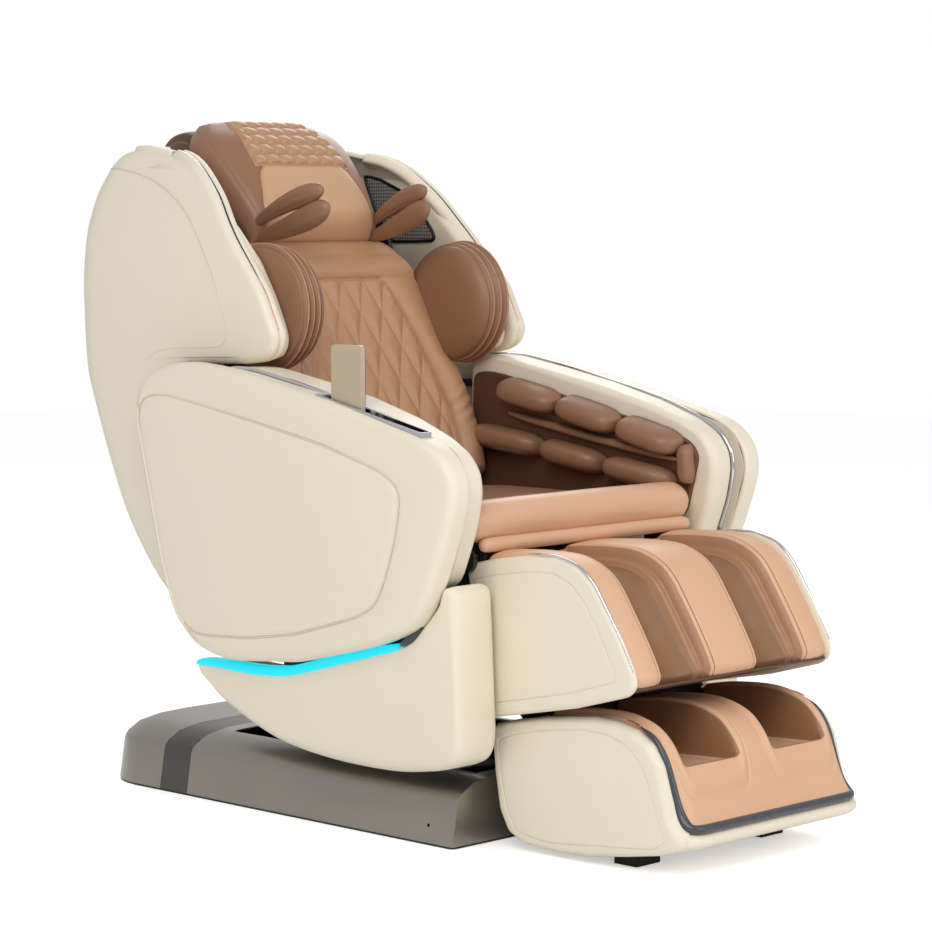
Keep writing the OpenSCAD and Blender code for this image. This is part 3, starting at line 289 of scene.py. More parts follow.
def build_mesh(name, verts, faces):
    """Smooth mesh from arrays, its doubles merged and its normals turned to point out."""
    mesh = bpy.data.meshes.new(name)
    mesh.from_pydata(np.asarray(verts, float).tolist(), [], [list(map(int, f)) for f in faces])
    bm = bmesh.new()
    bm.from_mesh(mesh)
    bmesh.ops.remove_doubles(bm, verts=bm.verts, dist=1e-6)
    bmesh.ops.recalc_face_normals(bm, faces=bm.faces)
    bm.to_mesh(mesh)
    bm.free()
    mesh.shade_smooth()
    return mesh


def closed_stack(name, rings):
    """Closed skin through K rings of N points (K, N, 3); a point in the middle closes each end."""
    rings = np.asarray(rings)
    k, n = rings.shape[:2]
    verts = np.vstack([rings.reshape(-1, 3), rings[0].mean(0), rings[-1].mean(0)])
    faces = [tuple(f) for f in grid_faces(k, n, True)]
    i = np.arange(n)
    faces += [(k * n, b, a) for a, b in zip(i, (i + 1) % n)]
    faces += [(k * n + 1, a + (k - 1) * n, b + (k - 1) * n) for a, b in zip(i, (i + 1) % n)]
    return build_mesh(name, verts, faces)


def polar_outline(points, centre, n=320, soften=3.0):
    """Distance of a closed outline from its centre at n even angles: read off the straight runs
    between its points, then smoothed by a bell of soften steps, applied as a Fourier low-pass."""
    p = np.asarray(points, float)
    q = np.roll(p, -1, 0)
    t = np.linspace(0, 1, 60, endpoint=False)[None, :, None]
    d = (p[:, None] * (1 - t) + q[:, None] * t).reshape(-1, 2) - centre
    a = np.arctan2(d[:, 1], d[:, 0])
    r = np.hypot(d[:, 0], d[:, 1])
    order = np.argsort(a)
    a, r = a[order], r[order]
    a = np.concatenate([a - 2 * np.pi, a, a + 2 * np.pi])
    r = np.tile(r, 3)
    even = np.interp(np.linspace(-np.pi, np.pi, n, endpoint=False), a, r)
    k = np.fft.rfftfreq(n) * n
    return np.fft.irfft(np.fft.rfft(even) * np.exp(-0.5 * (k * soften * 2 * np.pi / n) ** 2), n)


def outline_ring(radius, centre, x):
    """Ring of points at side distance x whose distance from the centre follows radius."""
    a = np.linspace(-np.pi, np.pi, len(radius), endpoint=False)
    return np.stack([np.full(len(a), x), centre[0] + radius * np.cos(a),
                     centre[1] + radius * np.sin(a)], -1)


def tube(name, path, r, closed=True, sides=8):
    """Round cord along a path (N, 3): circles in the plane across the path at every point. They
    start from a fixed direction that no path here runs along."""
    path = np.asarray(path, float)
    step = np.roll(path, -1, 0) - np.roll(path, 1, 0)
    if not closed:
        step[0], step[-1] = path[1] - path[0], path[-1] - path[-2]
    t = step / np.linalg.norm(step, axis=1)[:, None]
    off_path = np.array([0.31, 0.17, 0.93])
    s = np.cross(t, off_path)
    s /= np.linalg.norm(s, axis=1)[:, None]
    w = np.cross(t, s)
    a = np.linspace(0, 2 * np.pi, sides, endpoint=False)
    radius = np.broadcast_to(np.asarray(r, float), (len(path),))[:, None, None]
    ring = path[:, None] + radius * (np.cos(a)[None, :, None] * s[:, None]
                                     + np.sin(a)[None, :, None] * w[:, None])
    if closed:
        ring = np.concatenate([ring, ring[:1]])
        return build_mesh(name, ring.reshape(-1, 3), grid_faces(len(ring), sides, True))
    return closed_stack(name, ring)


def joined(name, meshes):
    """One mesh from several."""
    bm = bmesh.new()
    for m in meshes:
        bm.from_mesh(m)
    mesh = bpy.data.meshes.new(name)
    bm.to_mesh(mesh)
    bm.free()
    mesh.shade_smooth()
    return mesh


def mirrored(mesh, name):
    """The same mesh for the other side of the chair, faces outwards."""
    m = mesh.copy()
    m.name = name
    write_points(m, read_points(m) * np.array([-1, 1, 1]))
    m.flip_normals()
    return m


def both_sides(name, mesh):
    """One mesh of a left-hand part and its mirror image."""
    return joined(name, [mesh, mirrored(mesh, mesh.name + "_mirror")])


def quarter(n):
    """n even angles from 0 to 90 degrees."""
    return np.radians(np.linspace(0, 90, n))


cream = leather("cream_leather", (0.925, 0.882, 0.80), 0.40, 0.7, 0.012)
cream_seam = leather("cream_piping", (0.88, 0.84, 0.765), 0.45, 1.0, 0.02)
door_edge = [(0.249, 0.78), (0.137, 0.813), (-0.027, 0.798), (-0.255, 0.759), (-0.41, 0.72),
             (-0.509, 0.696), (-0.542, 0.667), (-0.557, 0.637), (-0.557, 0.602),
             (-0.519, 0.498), (-0.487, 0.428), (-0.453, 0.382), (-0.346, 0.343),
             (-0.17, 0.300), (0.015, 0.285), (0.10, 0.305), (0.15, 0.355), (0.189, 0.45),
             (0.216, 0.557), (0.257, 0.723)]
door_seam = [(0.243, 0.741), (0.197, 0.756), (-0.057, 0.717), (-0.237, 0.685), (-0.386, 0.646),
             (-0.426, 0.625), (-0.434, 0.602), (-0.42, 0.53), (-0.397, 0.464),
             (-0.374, 0.418), (-0.328, 0.394), (-0.175, 0.351), (-0.053, 0.332),
             (0.09, 0.325), (0.14, 0.356), (0.18, 0.45), (0.206, 0.557), (0.236, 0.68)]
door_mid = np.array([-0.15, 0.56])
door_roll = 0.017
door_side, door_face, door_middle = 0.390, 0.407, 0.4105
outer_r = polar_outline(door_edge, door_mid)
seam_r = np.minimum(polar_outline(door_seam, door_mid, soften=2.5), outer_r - 0.012)
rings = [outline_ring(outer_r - d, door_mid, x) for d, x in
         ((0.012, 0.372), (0.008, 0.3625), (0.003, 0.3622), (0.0006, 0.3645))]
rings += [outline_ring(outer_r, door_mid, x) for x in np.linspace(0.367, door_side, 5)]
rings += [outline_ring(outer_r - door_roll * (1 - math.cos(t)), door_mid,
                       door_side + door_roll * math.sin(t)) for t in np.radians([15, 32, 50, 68, 90])]
rings += [outline_ring((outer_r - door_roll) * (1 - s) + (seam_r + 0.0035) * s, door_mid,
                       door_face + 0.002 * math.sin(math.pi * min(1, s * 1.1)))
          for s in np.linspace(0.12, 1, 9)]
rings += [outline_ring(seam_r + d, door_mid, x) for d, x in
          ((0.002, 0.4062), (0.0008, 0.4048), (-0.0008, 0.4048), (-0.0022, 0.4062),
           (-0.005, 0.4080), (-0.012, 0.4095), (-0.025, door_middle))]
rings += [outline_ring((seam_r - 0.025) * s, door_mid, door_middle + 0.001 * math.sin(3 * s))
          for s in (0.93, 0.84, 0.72, 0.58, 0.42, 0.25, 0.1)]
door_mesh = closed_stack("door_left_skin", np.stack(rings))
bead = tube("door_bead", outline_ring(seam_r, door_mid, 0.4064), 0.0014)
door_l = place_piece("door_left_skin", door_mesh, cream, "door_left", ["door_left"])
place_piece("door_left_bead", bead, cream_seam, "door_left")
door_r = place_piece("door_right_skin", mirrored(door_mesh, "door_right_skin"), cream,
                     "door_right", ["door_right"])
place_piece("door_right_bead", mirrored(bead, "door_right_bead"), cream_seam, "door_right")

# the pocket of the remote control is cut through the top edge of the right-hand door
pocket_x, pocket_y, pocket_z = (-0.3932, -0.3648), (-0.4695, -0.2145), (0.692, 0.86)
cutter_mesh = bpy.data.meshes.new("pocket_cutter")
cutter_mesh.from_pydata([(x, y, z) for x in pocket_x for y in pocket_y for z in pocket_z], [],
                        [(0, 1, 3, 2), (4, 6, 7, 5), (0, 4, 5, 1), (2, 3, 7, 6), (0, 2, 6, 4),
                         (1, 5, 7, 3)])
cutter = bpy.data.objects.new("pocket_cutter", cutter_mesh)
scene.collection.objects.link(cutter)
cut = door_r.modifiers.new("pocket", "BOOLEAN")
cut.object = cutter
cut.operation = "DIFFERENCE"
cut.solver = "EXACT"
bpy.context.view_layer.update()
solid = bpy.data.meshes.new_from_object(door_r.evaluated_get(bpy.context.evaluated_depsgraph_get()))
door_r.modifiers.clear()
door_r.data = solid
solid.name = "door_right_skin"
bpy.data.objects.remove(cutter)
liner_board = paint("liner_board", (0.80, 0.76, 0.69), 0.6)
dress("door_liner_left", liner_board, "door_left", 0.0005)
dress("door_liner_right", liner_board, "door_right", 0.0005)

# ---- Lower side shells and their light strips ----
# Hollow mouldings wrapped in the same cream leather. Each sweeps from a thin tail under the
# door to a tall rounded nose beside the leg unit. An LED strip in a clear lens lies on top.


def spline(points, n):
    """Smooth curve through points (M, D) at n even steps: uniform Catmull-Rom cubics."""
    p = np.asarray(points, float)
    p = np.vstack([2 * p[0] - p[1], p, 2 * p[-1] - p[-2]])
    t = np.linspace(0, len(p) - 3 - 1e-9, n)
    i = t.astype(int)
    f = (t - i)[:, None]
    a, b, c, d = p[i], p[i + 1], p[i + 2], p[i + 3]
    return 0.5 * (2 * b + (c - a) * f + (2 * a - 5 * b + 4 * c - d) * f ** 2
                  + (3 * b - 3 * c + d - a) * f ** 3)


def normals(run):
    """Unit normals of a run of points (N, 2): its direction turned by a quarter."""
    along = np.gradient(run, axis=0)
    along /= np.linalg.norm(along, axis=1)[:, None]
    return np.stack([along[:, 1], -along[:, 0]], -1)


top_line = [(0.128, 0.262), (0.105, 0.2685), (0.05, 0.2692), (-0.04, 0.2682), (-0.12, 0.2752),
            (-0.20, 0.2955), (-0.28, 0.3165), (-0.35, 0.335), (-0.395, 0.347), (-0.425, 0.363),
            (-0.447, 0.383), (-0.465, 0.4005), (-0.480, 0.4165), (-0.489, 0.430),
            (-0.4935, 0.444), (-0.500, 0.454), (-0.509, 0.4585)]
foot_line = [(0.128, 0.258), (0.098, 0.228), (0.053, 0.197), (-0.049, 0.157), (-0.13, 0.139),
             (-0.24, 0.129), (-0.366, 0.129), (-0.45, 0.139), (-0.50, 0.151), (-0.5275, 0.167),
             (-0.5365, 0.198), (-0.5345, 0.25), (-0.532, 0.305), (-0.530, 0.36),
             (-0.5285, 0.405), (-0.5245, 0.444), (-0.511, 0.4585)]
top_run, foot_run = spline(top_line, 120), spline(foot_line, 120)
span = np.linalg.norm(foot_run - top_run, axis=1)
shrink = np.clip(span / 0.05, 0.04, 1)
outer_x, inner_x, shell_mid_x = 0.372, 0.278, 0.325
top_round, foot_round, inner_round = 0.010, 0.026, 0.014
# each point of the section: side distance, share of the band's width, metres added to that
section = [(outer_x - top_round * (1 - math.sin(t)), 0, top_round * (1 - math.cos(t))) for t in quarter(6)]
section += [(outer_x, s, top_round * (1 - s) - foot_round * s) for s in (0.2, 0.4, 0.6, 0.8)]
section += [(outer_x - foot_round * (1 - math.cos(t)), 1, -foot_round * (1 - math.sin(t)))
            for t in quarter(8)]
section += [(x, 1, 0) for x in (0.335, 0.32, 0.305)]
section += [(inner_x + inner_round * (1 - math.sin(t)), 1, -inner_round * (1 - math.cos(t)))
            for t in quarter(6)]
section += [(inner_x, s, 0.004 * (1 - s) - inner_round * s) for s in (0.75, 0.5, 0.25)]
section += [(inner_x, 0, 0.004), (0.2792, 0, 0.0012), (0.282, 0, 0), (0.31, 0, 0), (0.34, 0, 0)]
section_x, share, added = np.array(section).T
narrow = 0.30 + 0.70 * np.sqrt(1 - (1 - shrink[:, None]) ** 4)
side_x = shell_mid_x + (section_x - shell_mid_x)[None, :] * narrow
along_band = (share[None, :] * span[:, None] + added[None, :] * shrink[:, None]) / span[:, None]
yz = top_run[:, None] * (1 - along_band[..., None]) + foot_run[:, None] * along_band[..., None]
lower_mesh = closed_stack("lower_shell_left", np.concatenate([side_x[..., None], yz], -1))
place_piece("lower_shells_skin", both_sides("lower_shells_skin", lower_mesh), cream, "seat",
            ["lower_shells"])

cyan, cyan_nt, cyan_sh = new_material("cyan_light")
fill_inputs(cyan_nt, cyan_sh, {
    "Base Color": tint(0.02, 0.62, 0.68), "Roughness": 0.25, "Emission Color": tint(0.0, 0.80, 0.88),
    "Emission Strength": 0.85})


def strip_on_shell(name, y0, y1, rise):
    """Rounded bar along the shell's top line from y0 to y1: superellipse sections across,
    their height tapering to both ends."""
    run = top_run[(top_run[:, 0] < y0) & (top_run[:, 0] > y1)]
    t = np.linspace(0, 1, len(run))
    fade = np.clip(np.sin(np.pi * t), 0, 1)[:, None] ** 0.3
    a = np.linspace(0, 2 * np.pi, 24, endpoint=False)
    c, d = np.cos(a), np.sin(a)
    x = 0.3605 + 0.0145 * np.sign(c) * np.abs(c) ** 0.5 * np.ones((len(run), 1))
    h = 0.0015 + rise * np.sign(d) * np.abs(d) ** 0.6 * (0.25 + 0.75 * fade)
    yz_p = run[:, None] + h[..., None] * normals(run)[:, None]
    return closed_stack(name, np.concatenate([x[..., None], yz_p], -1))


bar = strip_on_shell("light_bar", 0.122, -0.402, 0.0095)
place_piece("light_strips_skin", both_sides("light_strips_skin", bar), cyan, "seat",
            ["light_strips"])
gloss = paint("dark_gloss", (0.10, 0.12, 0.15), 0.10, 0.2, coat=1.0)
bar_tip = strip_on_shell("light_bar_tip", -0.398, -0.452, 0.0080)
place_piece("light_strip_tips", both_sides("light_strip_tips", bar_tip), gloss, "seat")

# ---- Arm shells, chrome trims and padded linings ----
# Leather-wrapped armrest mouldings. A chromed strip runs round their front edge, and the
# inner side is a dark padded channel with air cells that squeeze the forearm.
arm_edge = [(0.0625, 0.803), (-0.011, 0.803), (-0.137, 0.782), (-0.254, 0.760), (-0.373, 0.730),
            (-0.46, 0.700), (-0.503, 0.676), (-0.526, 0.646), (-0.531, 0.612), (-0.520, 0.556),
            (-0.501, 0.505), (-0.481, 0.458), (-0.44, 0.441), (-0.2, 0.441), (0.015, 0.446),
            (0.05, 0.53), (0.063, 0.66)]
arm_mid = np.array([-0.24, 0.62])
arm_r = polar_outline(arm_edge, arm_mid, soften=1.6)
arm_in_round, arm_out_round = 0.016, 0.012
rings = [outline_ring(arm_r - arm_in_round * (1 - math.sin(t)), arm_mid,
                      0.2915 - arm_in_round * math.cos(t)) for t in quarter(8)]
rings += [outline_ring(arm_r, arm_mid, x) for x in (0.302, 0.315, 0.328)]
rings += [outline_ring(arm_r - arm_out_round * (1 - math.cos(t)), arm_mid,
                       0.339 + arm_out_round * math.sin(t)) for t in quarter(7)]
arm_mesh = closed_stack("arm_left", np.stack(rings))


def thin_front(mesh):
    """Moves the inner side out towards the front: by 22 mm times clip((-y - 0.20) / 0.28)^1.5,
    fading to nothing at the outer side."""
    co = read_points(mesh)
    x, y = co[:, 0].copy(), co[:, 1]
    co[:, 0] = x + 0.022 * np.clip((-y - 0.20) / 0.28, 0, 1) ** 1.5 * np.clip((0.351 - x) / 0.06, 0, 1)
    write_points(mesh, co)


thin_front(arm_mesh)
place_piece("arm_shells_skin", both_sides("arm_shells_skin", arm_mesh), cream, "seat",
            ["arm_shells"])
chrome = paint("trim_chrome", (0.86, 0.86, 0.88), 0.10, 1.0)
# the strip follows the outline, cut open under the arm, where it starts, and along the top
arm_line = outline_ring(arm_r - 0.0026, arm_mid, 0.3562)
under_arm = int(np.argmin(np.hypot(arm_line[:, 1] + 0.10, arm_line[:, 2] - 0.44)))
arm_line = np.roll(arm_line, -under_arm, 0)[::-1]
line_y, line_z = arm_line[:, 1], arm_line[:, 2]
keep = (line_z > 0.50) & ((line_y < -0.30) | (line_z > 0.78)) & (line_y < 0.05)
trim = tube("arm_trim", arm_line[keep], 0.0043, False, 12)
place_piece("arm_trims_skin", both_sides("arm_trims_skin", trim), chrome, "seat",
            ["arm_trims"])

brown = leather("brown_leather", (0.57, 0.42, 0.315), 0.40, 1.0, 0.05)
deep_brown = leather("deep_brown_leather", (0.37, 0.245, 0.165), 0.46, 1.0, 0.06)
line_edge = [(-0.500, 0.640), (-0.470, 0.524), (-0.2, 0.524), (0.01, 0.524), (0.044, 0.60),
             (0.045, 0.70), (0.044, 0.774), (-0.02, 0.772), (-0.10, 0.755), (-0.254, 0.722),
             (-0.424, 0.684), (-0.478, 0.665)]
line_mid = np.array([-0.22, 0.64])
line_r = polar_outline(line_edge, line_mid, soften=2.0)
lining_x = 0.2700
rings = [outline_ring(line_r, line_mid, x) for x in (0.2741, lining_x)]
rings += [outline_ring(line_r - 0.003 * (1 - math.cos(t)), line_mid, lining_x - 0.0034 * math.sin(t))
          for t in np.radians([30, 60, 90])]
rings += [outline_ring(line_r * s, line_mid, 0.2680) for s in (0.96, 0.8, 0.5, 0.2)]
lining_mesh = closed_stack("lining_left", np.stack(rings))
thin_front(lining_mesh)


def air_cell(name, a, b, height, thick, wall_x, lean=0.0):
    """Plump cell between the ends a and b (y, z), on a wall at wall_x: half a superellipse
    across, its size following (1 - u^4.5)^0.42 along, with one shallow crease."""
    a, b = np.array(a), np.array(b)
    t = (b - a) / np.linalg.norm(b - a)
    up = np.array([-t[1], t[0]])
    up = up if up[1] > 0 else -up
    u = np.sin(np.linspace(-np.pi / 2, np.pi / 2, 40))
    w = np.linspace(0, 2 * np.pi, 36, endpoint=False)
    full = (1 - np.abs(u) ** 4.5) ** 0.42
    c, s = np.cos(w), np.sin(w)
    flat = np.sign(s) * np.abs(s) ** 0.75
    out = np.where(c > 0, np.abs(c) ** 0.8, 0)
    crease = 1 - 0.05 * np.exp(-((w - 1.05) / 0.09) ** 2)
    half = height / 2 * (0.80 + 0.20 * full)
    centre = (a + b)[None] / 2 + u[:, None] * t[None] * np.linalg.norm(b - a) / 2
    rows = centre[:, None, :] + (half[:, None] * flat[None] * (0.15 + 0.85 * full[:, None])
                                 + lean * (out * crease)[None] * full[:, None])[..., None] * up
    x = wall_x - thick * (out * crease)[None] * full[:, None]
    return closed_stack(name, np.concatenate([x[..., None], rows], -1))


upper = [((-0.335, 0.690), (-0.467, 0.655)), ((-0.192, 0.722), (-0.331, 0.689)),
         ((-0.040, 0.748), (-0.188, 0.720))]
under = [((-0.305, 0.610), (-0.455, 0.586)), ((-0.153, 0.634), (-0.301, 0.610)),
         ((0.030, 0.654), (-0.149, 0.634))]
cell_foot_x = 0.2668
cells = [air_cell("cell", a, b, 0.047, 0.046, cell_foot_x, -0.006) for a, b in upper]
cells += [air_cell("cell", a, b, 0.048, 0.050, cell_foot_x, 0.006) for a, b in under]
# a thin welt runs between the two rows, and one more cell stands across their front end
cells += [air_cell("cell", (-0.05, 0.697), (-0.462, 0.628), 0.016, 0.016, cell_foot_x)]
cells += [air_cell("cell", (-0.476, 0.658), (-0.480, 0.586), 0.030, 0.024, cell_foot_x)]
pads_mesh = joined("arm_pads_left", cells)
thin_front(pads_mesh)
linings = place_piece("arm_linings_skin", both_sides("arm_linings_skin", lining_mesh), deep_brown, "seat",
                      ["arm_linings"])
pads = place_piece("arm_pads_skin", both_sides("arm_pads_skin", pads_mesh), brown, "seat",
                   ["arm_pads"])

# ---- Remote control and its pocket ----
# A slim handset with a champagne back, a pale rim and a dark glossy front, hinged by a pin
# in a chromed pocket of the right-hand door. It folds forward into the pocket.
dress("remote_dock", chrome, "door_right", 0.0006)
dress("remote_case", paint("handset_champagne", (0.78, 0.71, 0.61), 0.34, 0.35, 0.01, 0.3),
      "remote", 0.0022)
glass = paint("screen_glass", (0.07, 0.09, 0.16), 0.08, 0.0, coat=1.0)
dress("remote_screen", glass, "remote", 0.0010)

# ---- Seat cushion, front roll and flap ----
# Foam under brown leather. A tan roll wraps the knee shaft, and a thin welt roll hangs under
# it in front of the calf unit.


def pillow_grid(name, half_x, depth, thick, centre, n=4.0, soft=0.42, tuck=0.003):
    """Crowned cushion: a sphere grid pushed to a superellipse of power n in plan, its edge
    rounded by the power soft, its sides drawn in where they cross the axes by the share tuck."""
    u = np.linspace(-np.pi / 2, np.pi / 2, 49)
    v = np.linspace(0, 2 * np.pi, 128, endpoint=False)
    cu, su = np.cos(u)[:, None], np.sin(u)[:, None]
    cv, sv = np.cos(v)[None], np.sin(v)[None]
    plan = (np.abs(cv) ** n + np.abs(sv) ** n) ** (-1 / n)
    plan = plan * (1 - tuck * np.cos(2 * v)[None] ** 2)
    r = np.sign(cu) * np.abs(cu) ** soft
    x, y = r * plan * cv * half_x, r * plan * sv * depth
    z = np.broadcast_to(np.sign(su) * np.abs(su) ** 0.8 * thick, x.shape)
    return closed_stack(name, np.stack([x, y, z], -1) + np.asarray(centre))


def swell(o, voxel=0.006, cap=0.007, pressure=4.0, frames=20):
    """Cloth inflation: remesh, let air pressure push the skin out, cap each point's way, bake."""
    even = o.modifiers.new("even", "REMESH")
    even.mode = "VOXEL"
    even.voxel_size = voxel
    bpy.context.view_layer.update()
    mesh = bpy.data.meshes.new_from_object(o.evaluated_get(bpy.context.evaluated_depsgraph_get()))
    o.modifiers.clear()
    covers = list(o.data.materials)
    o.data = mesh
    before = read_points(mesh)
    cloth = o.modifiers.new("air", "CLOTH")
    cloth.settings.use_pressure = True
    cloth.settings.uniform_pressure_force = pressure
    cloth.settings.effector_weights.gravity = 0
    cloth.settings.quality = 4
    for f in range(1, frames + 1):
        scene.frame_set(f)
    result = bpy.data.meshes.new_from_object(o.evaluated_get(bpy.context.evaluated_depsgraph_get()))
    move = read_points(result) - before
    o.modifiers.clear()
    scene.frame_set(1)
    move *= np.minimum(1, cap / np.maximum(np.linalg.norm(move, axis=1), 1e-9))[:, None]
    write_points(mesh, before + move)
    mesh.materials.clear()
    for cover in covers:
        mesh.materials.append(cover)
    mesh.shade_smooth()
    finish = o.modifiers.new("smooth", "SUBSURF")
    finish.levels = finish.render_levels = 1


tan = leather("tan_leather", (0.865, 0.69, 0.56), 0.40, 0.9, 0.03)
seat_mesh = pillow_grid("seat_cushion_skin", 0.253, 0.186, 0.046, (0, -0.2245, 0.5195), n=6.0)
seat_o = place_piece("seat_cushion_skin", seat_mesh, brown, "seat",
                     ["seat_cushion"])
swell(seat_o)


def lathe_roll(name, half, radius, axis_y, axis_z):
    """Round roll across the chair: circles of the given radius about an axis along x; radius is
    an array over the length share u in -1..1 and the angle."""
    around = np.linspace(0, 2 * np.pi, radius.shape[1], endpoint=False)[None]
    x = np.broadcast_to((roll_u * half)[:, None], radius.shape)
    return closed_stack(name, np.stack([x, axis_y + radius * np.cos(around),
                                        axis_z + radius * np.sin(around)], -1))


# the roll lies round the knee shaft, its ends pinched, with faint pull folds near them
knee_y, knee_z = -0.460, 0.555
roll_u = np.linspace(-1, 1, 120)
roll_a = np.linspace(0, 2 * np.pi, 72, endpoint=False)[None]
roll_end = (1 - np.abs(roll_u) ** 18) ** 0.35
roll_r = (0.0372 - 0.0012 * roll_u ** 2)[:, None] * (0.35 + 0.65 * roll_end)[:, None]
roll_r = roll_r * np.ones_like(roll_a)
roll_fold = np.exp(-((np.abs(roll_u) - 0.93) / 0.05) ** 2)[:, None]
roll_r = roll_r * (1 + 0.03 * roll_fold * np.sin(5 * roll_a)
                   + 0.006 * np.sin(9 * roll_u)[:, None] * np.sin(roll_a + 1))
roll_o = place_piece("seat_roll_skin", lathe_roll("seat_roll_skin", 0.2830, roll_r, knee_y, knee_z), tan,
                     "seat", ["seat_roll"])
welt_reach = 0.0480
welt_r = 0.0130 * (0.3 + 0.7 * (1 - np.abs(roll_u) ** 26) ** 0.4)[:, None] * np.ones_like(roll_a)
welt = lathe_roll("knee_flap_skin", 0.2700, welt_r, knee_y - 0.64 * welt_reach, knee_z - 0.77 * welt_reach)
welt_o = place_piece("knee_flap_skin", welt, tan, "seat", ["knee_flap"])

# ---- Calf unit ----
# Two cream side shells hold a tan padded tray. Each calf lies in a deep trough between tall
# ridges; pleated air cells line the troughs, and a chromed strip edges each shell.
calf_edge = [(-0.449, 0.483), (-0.515, 0.498), (-0.595, 0.510), (-0.655, 0.512), (-0.702, 0.500),
             (-0.735, 0.475), (-0.765, 0.434), (-0.797, 0.385), (-0.824, 0.334), (-0.828, 0.312),
             (-0.812, 0.296), (-0.697, 0.264), (-0.60, 0.245), (-0.503, 0.226), (-0.475, 0.35)]
calf_seam = [(-0.455, 0.455), (-0.52, 0.471), (-0.60, 0.483), (-0.65, 0.484), (-0.688, 0.471),
             (-0.716, 0.446), (-0.742, 0.410), (-0.770, 0.362), (-0.790, 0.326),
             (-0.786, 0.318), (-0.69, 0.289), (-0.60, 0.270), (-0.508, 0.252), (-0.484, 0.35)]
calf_mid = np.array([-0.64, 0.385])


def side_shell(name, edge, seam, mid, x0, x1, r, soften=1.6):
    """Flat shell with edge radius r between the side distances x0 and x1, and a fine stitched
    groove along the seam line: scaled copies of both outlines as rings."""
    big = polar_outline(edge, mid, soften=soften)
    line = np.minimum(polar_outline(seam, mid, soften=soften), big - r - 0.006)
    out = [outline_ring(big - 0.002, mid, x0), outline_ring(big, mid, x0 + 0.001)]
    out += [outline_ring(big - r * (1 - math.cos(t)), mid, x1 - 0.0008 - r + r * math.sin(t))
            for t in quarter(8)]
    out += [outline_ring((big - r) * (1 - s) + (line + 0.003) * s, mid, x1 - 0.0008 + 0.0006 * s)
            for s in (0.35, 0.7, 1)]
    out += [outline_ring(line + d, mid, x) for d, x in
            ((0.0012, x1 - 0.0004), (0.0004, x1 - 0.0016), (-0.0004, x1 - 0.0016),
             (-0.0012, x1 - 0.0004), (-0.004, x1 - 0.0001))]
    out += [outline_ring(line * s, mid, x1) for s in (0.85, 0.6, 0.3)]
    return closed_stack(name, np.stack(out))


calf_shell = side_shell("calf_left", calf_edge, calf_seam, calf_mid, 0.2542, 0.2662, 0.0095)
place_piece("calf_shells_skin", both_sides("calf_shells_skin", calf_shell), cream, "calf",
            ["calf_shells"])
calf_n = 130
trough_mid, trough_half, trough_deep = 0.1245, 0.0655, 0.052
crest = spline([(-0.4830, 0.4915), (-0.4955, 0.5025), (-0.516, 0.5068), (-0.55, 0.5095), (-0.60, 0.5115),
                (-0.655, 0.5090), (-0.700, 0.494), (-0.732, 0.470), (-0.762, 0.4285),
                (-0.793, 0.380), (-0.815, 0.341), (-0.826, 0.312)], calf_n)
crest_n = normals(crest)
x_line = np.linspace(-0.2538, 0.2538, 301)
ax = np.abs(x_line)
reach = np.abs(ax - trough_mid) / trough_half
bowl = np.where(reach < 1, np.cos(np.pi / 2 * np.clip(reach, 0, 1)) ** 0.55, 0)
edge_drop = 0.006 * np.clip((ax - 0.238) / 0.0158, 0, 1) ** 2.5
crown = -0.0035 * np.where(ax < 0.06, np.cos(ax / 0.06 * np.pi / 2),
                           np.where(ax > 0.19, np.sin(np.clip((ax - 0.19) / 0.055, 0, 1) * np.pi), 0))
v_line = np.linspace(0, 1, calf_n)
deep = trough_deep * np.clip((v_line - 0.03) / 0.07, 0, 1) ** 0.7
deep = deep * np.interp(v_line, [0, 0.8, 1], [1, 1, 0.72])
wall = np.clip(1 - reach, 0, 1)
pleat = 0.0065 * np.abs(np.sin(wall / 0.32 * 2 * np.pi)) ** 0.7 * (wall < 0.32) * (reach < 1)
piping = sum(size * np.exp(-((reach - at) / 0.022) ** 2) for at, size in ((1.0, 0.0012), (1.10, 0.0026)))
end_round = 0.012 * np.clip((v_line - 0.955) / 0.045, 0, 1) ** 2
dip = (deep[:, None] * bowl[None] + edge_drop[None]
       + crown[None] * np.clip(v_line[:, None] / 0.15, 0, 1)
       - pleat[None] * np.clip(deep[:, None] / trough_deep, 0, 1) + piping[None] + end_round[:, None])
tray_deep = np.interp(v_line, [0, 0.06, 0.2, 0.85, 1], [0.02, 0.035, 0.064, 0.060, 0.050])[:, None]
tray_top = crest[:, None] - crest_n[:, None] * dip[..., None]
tray_low = np.broadcast_to((crest - crest_n * tray_deep)[:, None], tray_top.shape)
tray_x = np.broadcast_to(x_line[None, :, None], tray_top.shape[:2] + (1,))


def sheet_solid(name, upper_grid, lower_grid):
    """Closed skin between two grids (R, C, 3) of the same size, joined round their rims."""
    r, c = upper_grid.shape[:2]
    faces = [tuple(f) for f in grid_faces(r, c)]
    n = r * c
    faces += [tuple(n + k for k in f[::-1]) for f in faces]
    rim = np.concatenate([np.arange(c), np.arange(1, r) * c + c - 1,
                          (r - 1) * c + np.arange(c - 2, -1, -1), np.arange(r - 2, 0, -1) * c])
    nxt = np.roll(rim, -1)
    faces += [(a, a + n, b + n, b) for a, b in zip(rim.tolist(), nxt.tolist())]
    return build_mesh(name, np.vstack([upper_grid.reshape(-1, 3), lower_grid.reshape(-1, 3)]), faces)


def zone_attribute(mesh, name, rule):
    """Stores rule(x, y, z) of every vertex as a point attribute: positive inside a zone."""
    inside = mesh.attributes.new(name, "FLOAT", "POINT")
    inside.data.foreach_set("value", np.ascontiguousarray(rule(*read_points(mesh).T)))


